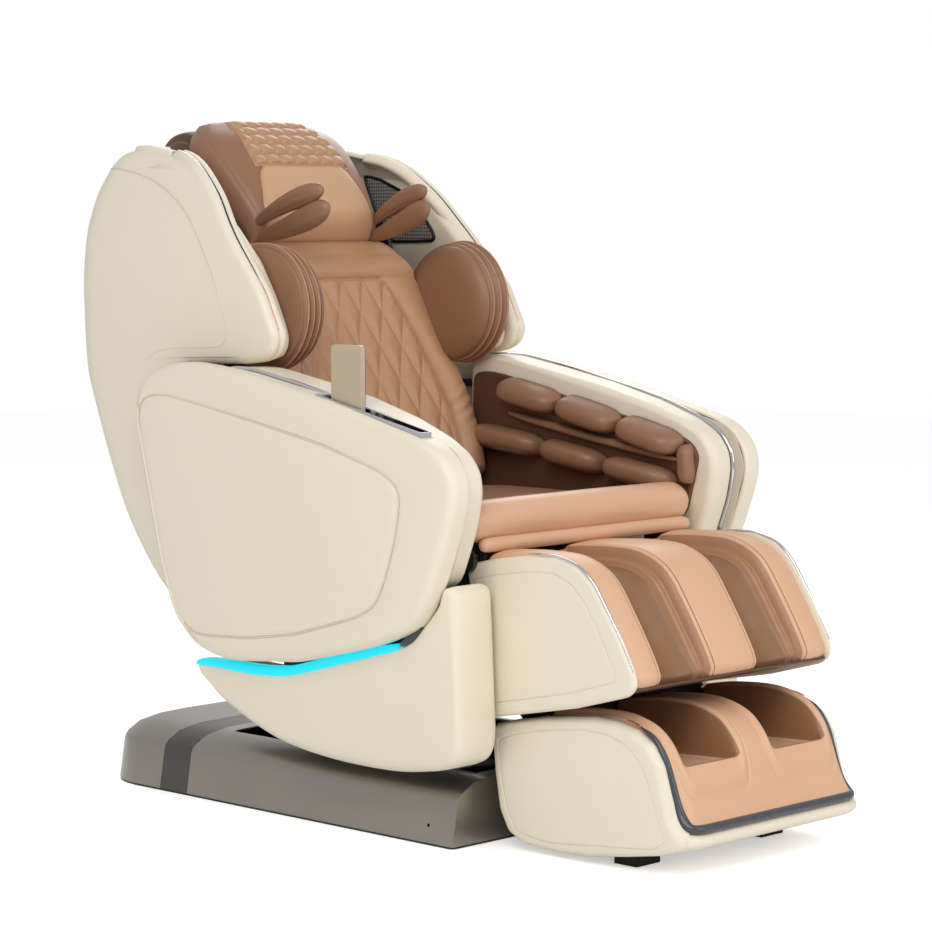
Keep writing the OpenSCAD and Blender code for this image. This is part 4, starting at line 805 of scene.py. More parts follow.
def add_tone(mat, attribute, colour):
    """Blends a second colour in where the named attribute is positive; in the calf troughs that colour is
    painted shade.
    """
    nt = mat.node_tree
    sh = nt.nodes["Principled BSDF"]
    old = sh.inputs["Base Color"].links[0].from_socket
    zone_fac = add_node(nt, "Attribute", {}, attribute_name=attribute).outputs["Fac"]
    sharp = add_node(nt, "MapRange", {"From Min": -0.0006, "From Max": 0.0006, "Value": zone_fac})
    mix = add_node(nt, "Mix", {}, data_type="RGBA")
    fill_inputs(nt, mix, {7: tint(*colour), 0: sharp.outputs[0], 6: old})
    fill_inputs(nt, sh, {"Base Color": mix.outputs[2]})


def hanging_sheet(name, run, half_x, n, offset):
    """Thin sheet across the chair: one section (y, z) carried along x, and the same offset."""
    x = np.linspace(-half_x, half_x, n)
    grid = np.stack([np.concatenate([np.full((len(run), 1), a), run], -1) for a in x], 1)
    return sheet_solid(name, grid, grid + np.array(offset))


calf_mesh = sheet_solid("calf_cushion_skin", np.concatenate([tray_x, tray_top], -1),
                        np.concatenate([tray_x, tray_low], -1))
calf_leather = leather("calf_leather", (0.865, 0.69, 0.555), 0.40, 0.9, 0.03)
# zones of the tray: distance from the trough's middle, half width and colour
# painted shade: the pleats and trough colours darken the tan where the deep troughs lie in shade; the seam
# colour is a dark seam line
for zone, mid, half, tone in (("pleats", 0.0550, 0.0100, (0.66, 0.485, 0.36)),
                              ("trough", 0.0, 0.0450, (0.555, 0.40, 0.28)),
                              ("seam", 0.0722, 0.0010, (0.42, 0.28, 0.19))):
    zone_attribute(calf_mesh, zone, lambda x, y, z: np.minimum(
        half - np.abs(np.abs(np.abs(x) - trough_mid) - mid), (-0.4975 - y) * 0.5))
    add_tone(calf_leather, zone, tone)
calf_o = place_piece("calf_cushion_skin", calf_mesh, calf_leather, "calf",
                     ["calf_cushion"])
# a dark apron closes the underside, its deep brown painted shade under the tray, and a rubber bellows hides
# the slides of the foot unit, its black painted shade for the dark gap
apron_run = spline([(-0.8175, 0.3045), (-0.78, 0.2925), (-0.697, 0.2725), (-0.60, 0.2535),
                    (-0.506, 0.2345)], 40)
apron_t = 0.004
# painted shade: the apron's deep brown stands in for the shade under the calf tray
apron = hanging_sheet("calf_shade_apron", apron_run + np.array([0, apron_t]), 0.2536, 21, (0, 0, -apron_t))
place_piece("calf_shade_apron", apron, deep_brown, "calf")
# painted shade: the bellows is black to stand in for the shade in the gap between calf and foot units
bellows_top, bellows_low, bellows_pitch = 0.254, 0.198, 0.014
bellows_z = np.linspace(bellows_top, bellows_low, 29)
bellows_in = 0.004 * np.abs(np.sin(np.pi * (bellows_z - bellows_low) / bellows_pitch))
bellows_a = np.radians(np.arange(0, 360, 4))
square_c, square_s = (np.sign(f) * np.abs(f) ** 0.2 for f in (np.cos(bellows_a), np.sin(bellows_a)))
bellows = [np.stack([(0.205 - d) * square_c, -0.552 + (0.044 - d) * square_s,
                     np.full(len(bellows_a), z)], -1) for d, z in zip(bellows_in, bellows_z)]
place_piece("calf_gap_shade_bellows", closed_stack("calf_gap_shade_bellows", np.stack(bellows)), rubber, "calf")
edge_run = spline([(-0.590, 0.5118), (-0.622, 0.5128), (-0.655, 0.5118), (-0.702, 0.4995), (-0.735, 0.4745),
                   (-0.765, 0.4335), (-0.797, 0.3845), (-0.822, 0.3385)], 90)
edge_r = np.interp(np.linspace(0, 1, 90), [0, 0.12, 0.7, 1], [0.0006, 0.0026, 0.0030, 0.0012])
calf_trim = tube("calf_trim", np.concatenate([np.full((90, 1), 0.2600), edge_run], -1), edge_r, False, 10)
place_piece("calf_trims_skin", both_sides("calf_trims_skin", calf_trim), chrome, "calf",
            ["calf_trims"])

# ---- Foot unit ----
# A cream tub that slides on two tubes. A tan padded cover spans its top and front, with a
# well and rolling massager for each foot and a trim strip between cover and tub; its dark
# grey paint and copper tips are painted reflections.
foot_edge = [(-0.482, 0.208), (-0.53, 0.222), (-0.60, 0.236), (-0.66, 0.244), (-0.713, 0.249),
             (-0.76, 0.246), (-0.80, 0.236), (-0.835, 0.216), (-0.858, 0.185), (-0.876, 0.139),
             (-0.893, 0.100), (-0.917, 0.076), (-0.9225, 0.063), (-0.915, 0.052),
             (-0.86, 0.038), (-0.779, 0.024), (-0.70, 0.013), (-0.62, 0.010), (-0.555, 0.014),
             (-0.520, 0.030), (-0.500, 0.066), (-0.489, 0.13)]
foot_seam = [(-0.500, 0.186), (-0.56, 0.205), (-0.62, 0.217), (-0.69, 0.226), (-0.745, 0.224),
             (-0.785, 0.213), (-0.815, 0.190), (-0.835, 0.155), (-0.853, 0.110), (-0.875, 0.075),
             (-0.893, 0.0655), (-0.84, 0.046), (-0.76, 0.033), (-0.68, 0.024), (-0.60, 0.026),
             (-0.545, 0.034), (-0.522, 0.07), (-0.508, 0.13)]
foot_mid = np.array([-0.70, 0.13])
foot_side = side_shell("foot_left", foot_edge, foot_seam, foot_mid, 0.2165, 0.2405, 0.013, soften=1.2)


def bar_across(name, section, n, xs):
    """Closed bar across the chair: one smooth section (y, z) of n points at each side distance."""
    run = spline(section, n)
    return closed_stack(name, np.stack([np.concatenate([np.full((n, 1), x), run], -1) for x in xs]))


wide = np.linspace(-0.2268, 0.2268, 31)
lip = bar_across("foot_lip", [(-0.870, 0.0405), (-0.905, 0.0495), (-0.9195, 0.0575), (-0.9215, 0.067),
                              (-0.914, 0.0755), (-0.902, 0.078), (-0.885, 0.074), (-0.86, 0.064)], 40, wide)
tub = bar_across("foot_tub", [
    (-0.875, 0.043), (-0.779, 0.0265), (-0.70, 0.0155), (-0.62, 0.0125), (-0.555, 0.0165), (-0.522, 0.033),
    (-0.503, 0.066), (-0.492, 0.13), (-0.486, 0.20), (-0.495, 0.205), (-0.506, 0.12), (-0.55, 0.05),
    (-0.70, 0.028), (-0.87, 0.052)], 70, wide[::3])
foot_skin = joined("foot_shell_skin", [foot_side, mirrored(foot_side, "foot_right"), lip, tub])


def round_corners(mesh):
    """Draws both front corners back: by 24 mm times clip((|x| - 0.19) / 0.05)^2, growing
    smoothly over the last 70 mm towards the front."""
    co = read_points(mesh)
    x, y = np.abs(co[:, 0]), co[:, 1].copy()
    near = np.clip((-y - 0.845) / 0.07, 0, 1)
    co[:, 1] = y + 0.024 * np.clip((x - 0.19) / 0.05, 0, 1) ** 2 * near * near * (3 - 2 * near)
    write_points(mesh, co)


round_corners(foot_skin)
place_piece("foot_shell_skin", foot_skin, cream, "foot", ["foot_shell"])


def well_floor(y):
    """Height of the floor of both foot wells, which rises a little towards the front."""
    return np.interp(-y, [0.60, 0.70, 0.80, 0.87], [0.160, 0.163, 0.167, 0.170])


profile = spline([(-0.602, 0.2375), (-0.65, 0.2465), (-0.70, 0.2515), (-0.75, 0.2525),
                  (-0.79, 0.2465), (-0.825, 0.2325), (-0.852, 0.206), (-0.868, 0.175),
                  (-0.882, 0.140), (-0.897, 0.110), (-0.910, 0.092), (-0.914, 0.084)], 170)
cover_x = np.linspace(-0.2135, 0.2135, 215)
py, pz = profile[:, 0][:, None], profile[:, 1][:, None]
# distance outside the well's outline, a rectangle with round corners that is open at the back
well_mid, well_half, well_front, corner_round = 0.1155, 0.0745, 0.870, 0.014
side_d = np.abs(np.abs(cover_x) - well_mid)[None] - well_half + corner_round
front_d = -py - well_front + corner_round
edge_d = (np.hypot(np.maximum(side_d, 0), np.maximum(front_d, 0))
          + np.minimum(np.maximum(side_d, front_d), 0) - corner_round)
well_in = np.clip(-edge_d / 0.014, 0, 1)
well_in = well_in * well_in * (3 - 2 * well_in)
sunk = np.maximum(0, pz - well_floor(py)) * well_in
rim = (0.0045 * np.exp(-((edge_d - 0.007) / 0.0065) ** 2)
       - 0.0022 * np.exp(-((edge_d - 0.0175) / 0.0022) ** 2))
slope_n = normals(profile)
side_round = -0.007 * np.clip((np.abs(cover_x) - 0.2035) / 0.010, 0, 1)[None] ** 2
out_by = rim + side_round + 0.0015
cover_y = py + slope_n[:, 0][:, None] * out_by
cover_z = pz + slope_n[:, 1][:, None] * out_by - sunk
cover_top = np.stack([np.broadcast_to(cover_x[None], cover_y.shape), cover_y, cover_z], -1)
cover_mesh = sheet_solid("foot_cushion_skin", cover_top, cover_top + np.array([0, 0.012, -0.011]))
zone_attribute(cover_mesh, "well", lambda x, y, z: np.minimum(
    np.minimum(0.0735 - np.abs(np.abs(x) - well_mid), y + 0.868), z - 0.004 - well_floor(y)))
round_corners(cover_mesh)
foot_leather = leather("foot_leather", (0.865, 0.69, 0.555), 0.40, 0.9, 0.03)
add_tone(foot_leather, "well", (0.60, 0.435, 0.31))
foot_o = place_piece("foot_cushion_skin", cover_mesh, foot_leather, "foot",
                     ["foot_cushion"])
# one strip runs down the left side, round the front and up the right side
strip_n = 260
run = [(-0.800, 0.2400), (-0.830, 0.2240), (-0.8530, 0.1910), (-0.8670, 0.157), (-0.8785, 0.127),
       (-0.8915, 0.1035), (-0.9055, 0.0890)]
side = [(-0.2150, y, z) for y, z in run] + [(-0.2110, -0.9115, 0.0852), (-0.2000, -0.9135, 0.0840)]
front = [(x, -0.9140, 0.0835) for x in (-0.17, -0.085, 0.0, 0.085, 0.17)]
strip_path = spline(side + front + [(-x, y, z) for x, y, z in side[::-1]], strip_n)
from_end = np.minimum(np.arange(strip_n), np.arange(strip_n)[::-1])
strip_r = np.interp(from_end, [0, 22, 60], [0.0016, 0.0064, 0.0078])
strips = tube("foot_trim_skin", strip_path, strip_r, False, 16)
round_corners(strips)
# painted reflection: the dark grey stands in for what the trim's chrome reflects
strip_dark_reflection = paint("strip_dark_reflection", (0.25, 0.26, 0.285), 0.34, 0.0, 0.01, 0.3)
place_piece("foot_trim_skin", strips, strip_dark_reflection, "foot", ["foot_trim"])
# painted reflection: copper stands in for the warm glint at the trims' ends
copper_reflection = paint("copper_reflection_strip", (0.80, 0.58, 0.46), 0.22, 0.9)
tip_run = spline([(-0.772, 0.2490), (-0.785, 0.2465), (-0.801, 0.2410)], 12)
tip_mesh = tube("foot_tip", np.concatenate([np.full((12, 1), 0.2165), tip_run], -1),
                np.linspace(0.0008, 0.0022, 12), False, 10)
place_piece("foot_trim_tips", both_sides("foot_trim_tips", tip_mesh), copper_reflection, "foot")

# ---- Back shell: the outer wings ----
# One moulding wrapped in cream leather: rear wall, two tall wings and a rolled front rim with
# a dark inlaid line whose copper foot is a painted reflection. A stitched seam parts the side panels.
front_line = [(0.150, 0.336), (0.155, 0.40), (0.163, 0.50), (0.178, 0.60), (0.195, 0.70),
              (0.209, 0.775), (0.200, 0.7985), (0.150, 0.8045), (0.09, 0.8060), (0.035, 0.8085),
              (-0.005, 0.8150), (-0.028, 0.8270), (-0.0385, 0.845), (-0.039, 0.866),
              (-0.022, 0.900), (-0.002, 0.938), (0.030, 0.976), (0.074, 1.023), (0.107, 1.060),
              (0.152, 1.112), (0.205, 1.156), (0.240, 1.176), (0.270, 1.187), (0.300, 1.193)]
rear_line = [(0.337, 0.336), (0.388, 0.40), (0.437, 0.50), (0.479, 0.60), (0.512, 0.70),
             (0.5315, 0.765), (0.5345, 0.785), (0.5362, 0.796), (0.5372, 0.804), (0.538, 0.811),
             (0.5388, 0.819), (0.5398, 0.830), (0.541, 0.847), (0.5423, 0.868), (0.5437, 0.900),
             (0.5449, 0.938), (0.545, 0.976), (0.544, 1.023), (0.5415, 1.060), (0.5318, 1.112),
             (0.512, 1.156), (0.4985, 1.176), (0.485, 1.187), (0.470, 1.193)]
width_line = [0.267, 0.288, 0.311, 0.318, 0.325, 0.329] + [0.330] * 10 + [
    0.328, 0.3235, 0.317, 0.3035, 0.290, 0.281, 0.273, 0.264]
rows, end_rows = 190, 6


def with_ends(run):
    """A run of values with its first and its last one repeated for the rings of the end caps."""
    return np.concatenate([run[:1].repeat(end_rows, 0), run, run[-1:].repeat(end_rows, 0)])


front_run, rear_run = spline(front_line, rows), spline(rear_line, rows)
wide_run = with_ends(spline([(w, 0) for w in width_line], rows)[:, 0])
# the wall is thin low down, thick at the roof, and its two ends close in a half round
cap_turn = np.radians(np.linspace(15, 80, end_rows))
thick_run = with_ends(np.interp(front_run[:, 1], [1.10, 1.185], [1.0, 2.6]))
wall_run = np.concatenate([np.cos(cap_turn[::-1]), np.ones(rows), np.cos(cap_turn)])
lift_run = np.concatenate([-0.006 * np.sin(cap_turn[::-1]), np.zeros(rows), 0.009 * np.sin(cap_turn)])
inward = with_ends(normals(front_run))
front_run, rear_run = (with_ends(q) + np.stack([0 * lift_run, lift_run], -1) for q in (front_run, rear_run))
depth_run = np.linalg.norm(rear_run - front_run, axis=1)
fit_run = np.clip(depth_run / 0.16, 0.1, 1)
rim_r, corner_r, shell_wall = 0.013, 0.09, 0.014
# the rolled lip: distance in from the side and depth, with a groove for the inlaid line
lip_path = [(rim_r - rim_r * math.cos(t), rim_r - rim_r * math.sin(t)) for t in quarter(8)]
lip_path += [(0.0165, 0.0006), (0.0185, 0.0026), (0.0200, 0.0048), (0.0215, 0.0026),
             (0.0235, 0.0006), (0.028, 0.0), (0.033, 0.0010), (0.038, 0.0050),
             (0.0412, 0.0110), (0.042, 0.019)]
r_c = np.minimum(corner_r, depth_run * 0.6)
outer_wall = [("rear", f, 0.0) for f in (0.0, 0.3, 0.6, 0.85)]
outer_wall += [("corner", math.radians(t), 0.0) for t in np.linspace(0, 90, 12)]
outer_wall += [("side", f, 0.0) for f in (0.2, 0.4, 0.6, 0.8, 0.93)]
inner_wall = [(kind, a, shell_wall) for kind, a, depth in reversed(outer_wall)]
half_ring = outer_wall + [("lip", dx, d) for dx, d in lip_path] + inner_wall


def shell_point(kind, a, b):
    """Points (N, 3) of one section place along the whole shell: on the rear wall, round its
    corner, along the side or on the rolled lip, drawn in by the wall thickness b. Towards both
    ends the place closes in on the middle of the wall."""
    wall_mid = 0.007
    if kind == "lip":
        a = wall_mid + (a - wall_mid) * wall_run
    else:
        b = (wall_mid + (b - wall_mid) * wall_run) * np.where(b > wall_mid, thick_run, 1.0)
    turn_at = rear_run + (front_run - rear_run) * (r_c / depth_run)[:, None]
    if kind == "lip":
        yz_p = front_run + inward * (b * fit_run)[:, None] + np.stack(
            [0.025 * (1 - wall_run), -1.6 * np.maximum(lift_run, 0)], -1)
        x_p = wide_run - a * (0.35 + 0.65 * fit_run)
    elif kind == "side":
        yz_p = turn_at * (1 - a) + (front_run + inward * (rim_r * fit_run)[:, None]) * a
        x_p = wide_run + 0.0014 * math.sin(math.pi * a) - b
    elif kind == "corner":
        yz_p = turn_at + (rear_run - turn_at) * (math.cos(a) * (r_c - b) / r_c)[:, None]
        x_p = wide_run - r_c + math.sin(a) * (r_c - b)
    else:
        yz_p = rear_run + (turn_at - rear_run) * (b / r_c)[:, None]
        x_p = (wide_run - r_c) * a
    return np.concatenate([x_p[:, None], yz_p], -1)


right_half = np.stack([shell_point(*place) for place in half_ring], 1)
left_half = right_half[:, ::-1][:, 1:-1] * np.array([-1, 1, 1])
shell_rings = np.concatenate([right_half, left_half], 1)
n_rows, n_ring = shell_rings.shape[:2]
shell_faces = [tuple(f) for f in grid_faces(n_rows, n_ring, True)]
# both ends are closed by quads between the outer and the inner wall, on either side
last, edge_n = len(half_ring) - 1, len(outer_wall)
for base in (0, (n_rows - 1) * n_ring):
    for flip in (lambda q: q, lambda q: (n_ring - q) % n_ring):
        for i in range(edge_n - 1):
            quad = (i, i + 1, last - i - 1, last - i)
            shell_faces.append(tuple(base + (flip(q) if 0 < q < last else q) for q in quad))
        shell_faces.append(tuple(base + flip(q) for q in range(edge_n - 1, last - edge_n + 2)))
shell_mesh = build_mesh("back_shell_skin", shell_rings.reshape(-1, 3), shell_faces)
place_piece("back_shell_skin", shell_mesh, cream, "back", ["back_shell"])
valley = front_run + inward * 0.0036
on_dark = (valley[:, 1] > 0.955) & (valley[:, 1] < 1.172) & (valley[:, 0] < 0.25)
on_copper_reflection = (valley[:, 1] > 0.868) & (valley[:, 1] < 0.957) & (valley[:, 0] < 0.1)


def inlay(name, chosen, r0, r1):
    """Thin cord in the rim's groove along the chosen run of the front line, tapered at its ends."""
    p = valley[chosen]
    t = np.linspace(0, 1, len(p))
    path = np.concatenate([(wide_run[chosen] - 0.0200)[:, None], p], -1)
    return tube(name, path, r0 + (r1 - r0) * np.sin(np.pi * t) ** 0.6, False, 10)


dark_inlay = inlay("inlay_left", on_dark, 0.0008, 0.0030)
place_piece("wing_trims_skin", both_sides("wing_trims_skin", dark_inlay), gloss, "back",
            ["wing_trims"])
# painted reflection: the inlay's copper foot stands in for a glint on the trim
copper_reflection_inlay = inlay("inlay_copper_reflection_left", on_copper_reflection, 0.0006, 0.0016)
place_piece("wing_trims_foot", both_sides("wing_trims_foot", copper_reflection_inlay), copper_reflection, "back")
stitch_line = spline([(0.500, 1.158), (0.448, 1.160), (0.385, 1.152), (0.321, 1.136), (0.251, 1.104),
                      (0.193, 1.060), (0.136, 0.987), (0.101, 0.922), (0.085, 0.882), (0.083, 0.862),
                      (0.091, 0.844), (0.112, 0.8365), (0.18, 0.8325), (0.244, 0.829),
                      (0.287, 0.817), (0.312, 0.803)], 160)
# the stitch lies on the shell: its side distance follows the wall and the rear corner
upper_part = slice(60, rows)
stitch_w = np.interp(stitch_line[:, 1], front_run[upper_part, 1], wide_run[upper_part])
stitch_rear = np.interp(stitch_line[:, 1], rear_run[upper_part, 1], rear_run[upper_part, 0])
round_by = np.clip(stitch_line[:, 0] - (stitch_rear - corner_r), 0, corner_r - 0.0005)
stitch_x = stitch_w - corner_r + np.sqrt(corner_r ** 2 - round_by ** 2) + 0.0010
stitch = tube("stitch_left", np.concatenate([stitch_x[:, None], stitch_line], -1), 0.0009, False, 6)
place_piece("back_shell_stitch", both_sides("back_shell_stitch", stitch), cream_seam, "back")

# ---- Inner wings: linings and loudspeaker grilles ----
# Padded cream panels line the wings. Each holds a perforated metal grille in a black frame,
# with a loudspeaker behind it.
wing_edge = [(0.040, 0.811), (0.15, 0.808), (0.29, 0.808), (0.36, 0.88), (0.425, 1.00),
             (0.415, 1.10), (0.37, 1.155), (0.312, 1.168), (0.255, 1.152), (0.198, 1.124),
             (0.150, 1.088), (0.108, 1.050), (0.050, 0.990), (0.010, 0.925), (-0.014, 0.875),
             (-0.024, 0.848), (-0.010, 0.820)]
wing_mid = np.array([0.20, 0.98])
wing_r = polar_outline(wing_edge, wing_mid, soften=1.6)
rings = [outline_ring(wing_r - 0.001, wing_mid, 0.2885), outline_ring(wing_r, wing_mid, 0.285)]
wing_roll = 0.014
rings += [outline_ring(wing_r - wing_roll * (1 - math.cos(t)), wing_mid, 0.2795 - 0.0125 * math.sin(t))
          for t in np.radians(np.linspace(10, 90, 8))]
rings += [outline_ring((wing_r - wing_roll) * s, wing_mid, 0.2668) for s in (0.9, 0.7, 0.4, 0.15)]
wing_mesh = closed_stack("wing_left", np.stack(rings))
wing_o = place_piece("wing_linings_skin", both_sides("wing_linings_skin", wing_mesh), cream, "back",
                     ["wing_linings"])

grille_paint, grille_nt, grille_sh = new_material("grille_metal")
spot = add_node(grille_nt, "TexCoord", {}).outputs["Object"]
flat_spot = add_node(grille_nt, "Mapping", {"Scale": (0.0, 1.0, 1.0), "Vector": spot})
dots = add_node(grille_nt, "TexVoronoi", {"Scale": 150.0, "Randomness": 0.0,
                                          "Vector": flat_spot.outputs[0]})
hole = add_node(grille_nt, "MapRange", {"From Min": 0.22, "From Max": 0.30,
                                        "Value": dots.outputs["Distance"]})
metal = add_node(grille_nt, "Mix", {}, data_type="RGBA")
fill_inputs(grille_nt, metal, {6: tint(0.14, 0.14, 0.15), 7: tint(0.86, 0.85, 0.85), 0: hole.outputs[0]})
fill_inputs(grille_nt, grille_sh, {"Metallic": 0.7, "Roughness": 0.32, "Base Color": metal.outputs[2]})
grille_edge = [(0.343, 1.150), (0.300, 1.142), (0.242, 1.120), (0.205, 1.095), (0.172, 1.064),
               (0.151, 1.038), (0.147, 1.027), (0.154, 1.0225), (0.20, 1.0205), (0.262, 1.020),
               (0.31, 1.08)]
grille_mid = np.array([0.235, 1.066])
grille_r = polar_outline(grille_edge, grille_mid, soften=1.2)
plate_rings = [outline_ring(grille_r * s, grille_mid, x) for s, x in
               ((0.98, 0.2700), (0.98, 0.2650), (0.9, 0.2646), (0.5, 0.2644), (0.15, 0.2643))]
grille_mesh = closed_stack("grille_left", np.stack(plate_rings))
place_piece("speaker_grilles_skin", both_sides("speaker_grilles_skin", grille_mesh), grille_paint,
            "back", ["speaker_grilles"])
black = paint("black_plastic", (0.04, 0.04, 0.045), 0.35)
rim_mesh = tube("grille_rim", outline_ring(grille_r, grille_mid, 0.2652), 0.0034)
place_piece("speaker_rims", both_sides("speaker_rims", rim_mesh), black, "back")

# ---- Back cushion and its board ----
# Foam under tan leather. A border seam frames long stitched diamonds; smooth bolsters run up
# both sides and a plain yoke rolls back over the top. A padded board closes the space behind.
tan_back = leather("tan_back_leather", (0.735, 0.56, 0.425), 0.42, 1.0, 0.03)
lean = math.radians(21)
back_up = np.array([0.0, math.sin(lean), math.cos(lean)])
back_out = np.array([0.0, -math.cos(lean), math.sin(lean)])
back_foot = np.array([0.0, 0.036, 0.558])
back_len, yoke_s = 0.494, 0.4015
s_grid = np.linspace(0.0, back_len, 206)[:, None]
u_line = np.linspace(-1, 1, 233)
half_at = np.interp(s_grid[:, 0], [0, 0.12, 0.165, 0.211, 0.25, 0.278, 0.327, 0.40, 0.455, 0.48, back_len],
                    [0.257, 0.260, 0.259, 0.251, 0.237, 0.229, 0.221, 0.206, 0.190, 0.174, 0.160])
bell = np.hanning(17) / np.hanning(17).sum()
half_at = np.convolve(np.pad(half_at, len(bell) // 2, "edge"), bell, "valid")[:, None]
seam_at = np.interp(s_grid, [0, 0.07, 0.135, 0.205, 0.27, 0.327, 0.37, 0.39, yoke_s],
                    [0.182, 0.188, 0.186, 0.170, 0.152, 0.136, 0.120, 0.110, 0.094])
x_grid = u_line[None] * half_at
ax = np.abs(x_grid)
below_yoke = s_grid < yoke_s
# quilted diamonds: two families of slanting lines, with a puff of each diamond between them
tile_x, tile_s, line_gap = 0.056, 0.136, 0.0518
to_lines = [np.abs(a - np.round(a)) * line_gap for a in
            (x_grid / tile_x + (yoke_s - s_grid) / tile_s, x_grid / tile_x - (yoke_s - s_grid) / tile_s)]
puff = 0.0075 * (1 - (1 - np.clip(np.minimum(*to_lines) / 0.0225, 0, 1)) ** 2.2)
border = np.minimum(seam_at - ax, yoke_s - s_grid)
puff = puff * np.clip(border / 0.006, 0, 1) ** 0.6
# smooth bolsters at both sides, with a few pull folds at the waist
share_out = np.clip((ax - seam_at) / np.maximum(half_at - seam_at, 1e-3), 0, 1)
bolster = 0.021 * np.sin(np.pi * share_out ** 0.75) ** 0.8
bolster = bolster * np.interp(s_grid, [0, 0.05, 0.12, 0.30, 0.385, yoke_s],
                              [0.5, 1.1, 1.2, 0.85, 0.5, 0.35])
waist_folds = 0.0013 * np.exp(-((s_grid - 0.14) / 0.045) ** 2) * np.clip(share_out * 3, 0, 1) * np.sin(
    (s_grid - 0.5 * ax) * 260)
# the plain yoke at the top, and the stitched seams between the parts
yoke = np.clip((s_grid - yoke_s) / (back_len - yoke_s), 0, 1)
yoke_swell = 0.009 * np.sin(np.pi * np.clip((s_grid - 0.395) / 0.06, 0, 1)) * np.ones_like(x_grid)
yoke_folds = 0.0020 * np.sin(ax * 40 + 3) * np.sin(s_grid * 90) * (s_grid > 0.41)
seam_d = np.where(below_yoke, np.abs(ax - seam_at), 1)
top_d = np.where(ax < seam_at + 0.008, np.abs(s_grid - yoke_s), 1)
stitched = 0.0050 * np.exp(-(np.minimum(seam_d, top_d) / 0.0026) ** 2)
h = (0.0515 - 0.030 * yoke ** 2.0 + np.where((ax < seam_at) & below_yoke, puff, 0)
     + np.where(below_yoke, bolster, yoke_swell) - stitched + waist_folds + yoke_folds)
rim_h = 0.004
edge_u = np.clip((1 - np.abs(u_line)) / 0.075, 0, 1)[None]
edge_s = np.minimum(np.clip(s_grid / 0.02, 0, 1), np.clip((back_len - s_grid) / 0.016, 0, 1))
h = rim_h + (h - rim_h) * (1 - (1 - edge_u) ** 2.4) ** 0.5 * (1 - (1 - edge_s) ** 2.4) ** 0.5


def on_base(x, s, out_by, foot, up, out):
    """Points on a leaning base: x across, s up from its foot and out_by in front of it."""
    across = np.stack([x, np.zeros_like(x), np.zeros_like(x)], -1)
    return across + foot + s[..., None] * up + out_by[..., None] * out


back_base = (back_foot, back_up, back_out)
s_full = np.broadcast_to(s_grid, x_grid.shape)
quilt = sheet_solid("back_cushion_skin", on_base(x_grid, s_full, h, *back_base),
                    on_base(x_grid * 0.985, s_full, np.zeros_like(h), *back_base))
back_o = place_piece("back_cushion_skin", quilt, tan_back, "back", ["back_cushion"])
# a loose apron hangs from the cushion's lower end and closes the gap behind the seat
drop_run = spline([(0.036, 0.585), (0.042, 0.545), (0.047, 0.500), (0.050, 0.445)], 24)
drop = hanging_sheet("back_apron", drop_run, 0.236, 19, (0, apron_t, 0))
place_piece("back_apron", drop, deep_brown, "back")
dress("back_lining", deep_brown, "back", 0.003)

# ---- Head pillow and its hood ----
# A pillow zipped to the back: dark sides, a small quilted band on top and a smooth tan panel
# for the head. A folded hood closes the gap behind it.
pil_lean = math.radians(50)
pil_c = np.array([0.0, 0.291, 1.1106])
pil_v = np.array([0.0, math.cos(pil_lean), math.sin(pil_lean)])
pil_n = np.array([0.0, -math.sin(pil_lean), math.cos(pil_lean)])
pil_low, pil_top, pil_rows = -0.126, 0.166, 170
panel_end, band_end, tile_w, tile_h = 0.008, 0.150, 0.034, 0.0284


def pillow_zones(x, v):
    """Distances inside the smooth panel and inside the quilted band, negative outside them."""
    ax = np.abs(x)
    panel_half = np.interp(v, [pil_low, -0.072, -0.02, -0.004, panel_end],
                           [0.138, 0.134, 0.118, 0.110, 0.098])
    band_half = np.interp(v, [panel_end, 0.05, 0.10, band_end], [0.116, 0.113, 0.102, 0.092])
    return (np.minimum(panel_half - ax, panel_end - v),
            np.minimum(np.minimum(band_half - ax, v - panel_end), band_end - v))


def smooth_values(values):
    """Column of values that runs smoothly through the given ones, up the pillow."""
    return spline([(value, 0) for value in values], pil_rows)[:, :1]


v_grid = np.linspace(pil_low, pil_top, pil_rows)[:, None]
u_line = np.linspace(-1, 1, 201)
pil_half = smooth_values([0.160, 0.170, 0.178, 0.183, 0.186, 0.184, 0.172])
pil_half = pil_half * (1 - 0.30 * np.clip((v_grid - 0.070) / 0.096, 0, 1) ** 2.2)
x_grid = u_line[None] * pil_half
panel_in, band_in = pillow_zones(x_grid, v_grid)
rise = smooth_values([0.052, 0.068, 0.0755, 0.0775, 0.0775, 0.074, 0.066, 0.050, 0.032])
lift = rise * (1 - 0.34 * np.clip(np.abs(u_line)[None] - 0.42, 0, 1) ** 2 / 0.58 ** 2)
# the band's tiles are square puffs that overlap upwards like shingles
tile_up = (v_grid - panel_end) / tile_h
tiles = np.abs(np.sin(np.pi * (x_grid / tile_w + 0.5))) * np.abs(np.sin(np.pi * tile_up))
tiles = 0.0085 * tiles ** 0.45 * (1.25 - 0.8 * (tile_up % 1.0))
lift = lift + np.where(band_in > 0, tiles, 0) * np.clip(band_in / 0.004, 0, 1)
lift = lift + 0.0035 * np.clip(panel_in / 0.02, 0, 1) ** 0.5 * (panel_in > 0)
rim_d = np.minimum(np.abs(panel_in), np.where(v_grid > 0.004, np.abs(band_in), 1))
side_seam = np.abs(np.abs(x_grid) - (pil_half - 0.016))
lift = lift - 0.0030 * np.exp(-(rim_d / 0.0020) ** 2) - 0.0014 * np.exp(-(side_seam / 0.0018) ** 2)
edge_u = np.clip((1 - np.abs(u_line)) / 0.17, 0, 1)[None]
edge_v = np.minimum(np.clip((v_grid - pil_low) / 0.03, 0, 1), np.clip((pil_top - v_grid) / 0.03, 0, 1))
lift = rim_h + (lift - rim_h) * (1 - (1 - edge_u) ** 2.2) ** 0.5 * (1 - (1 - edge_v) ** 2.2) ** 0.55
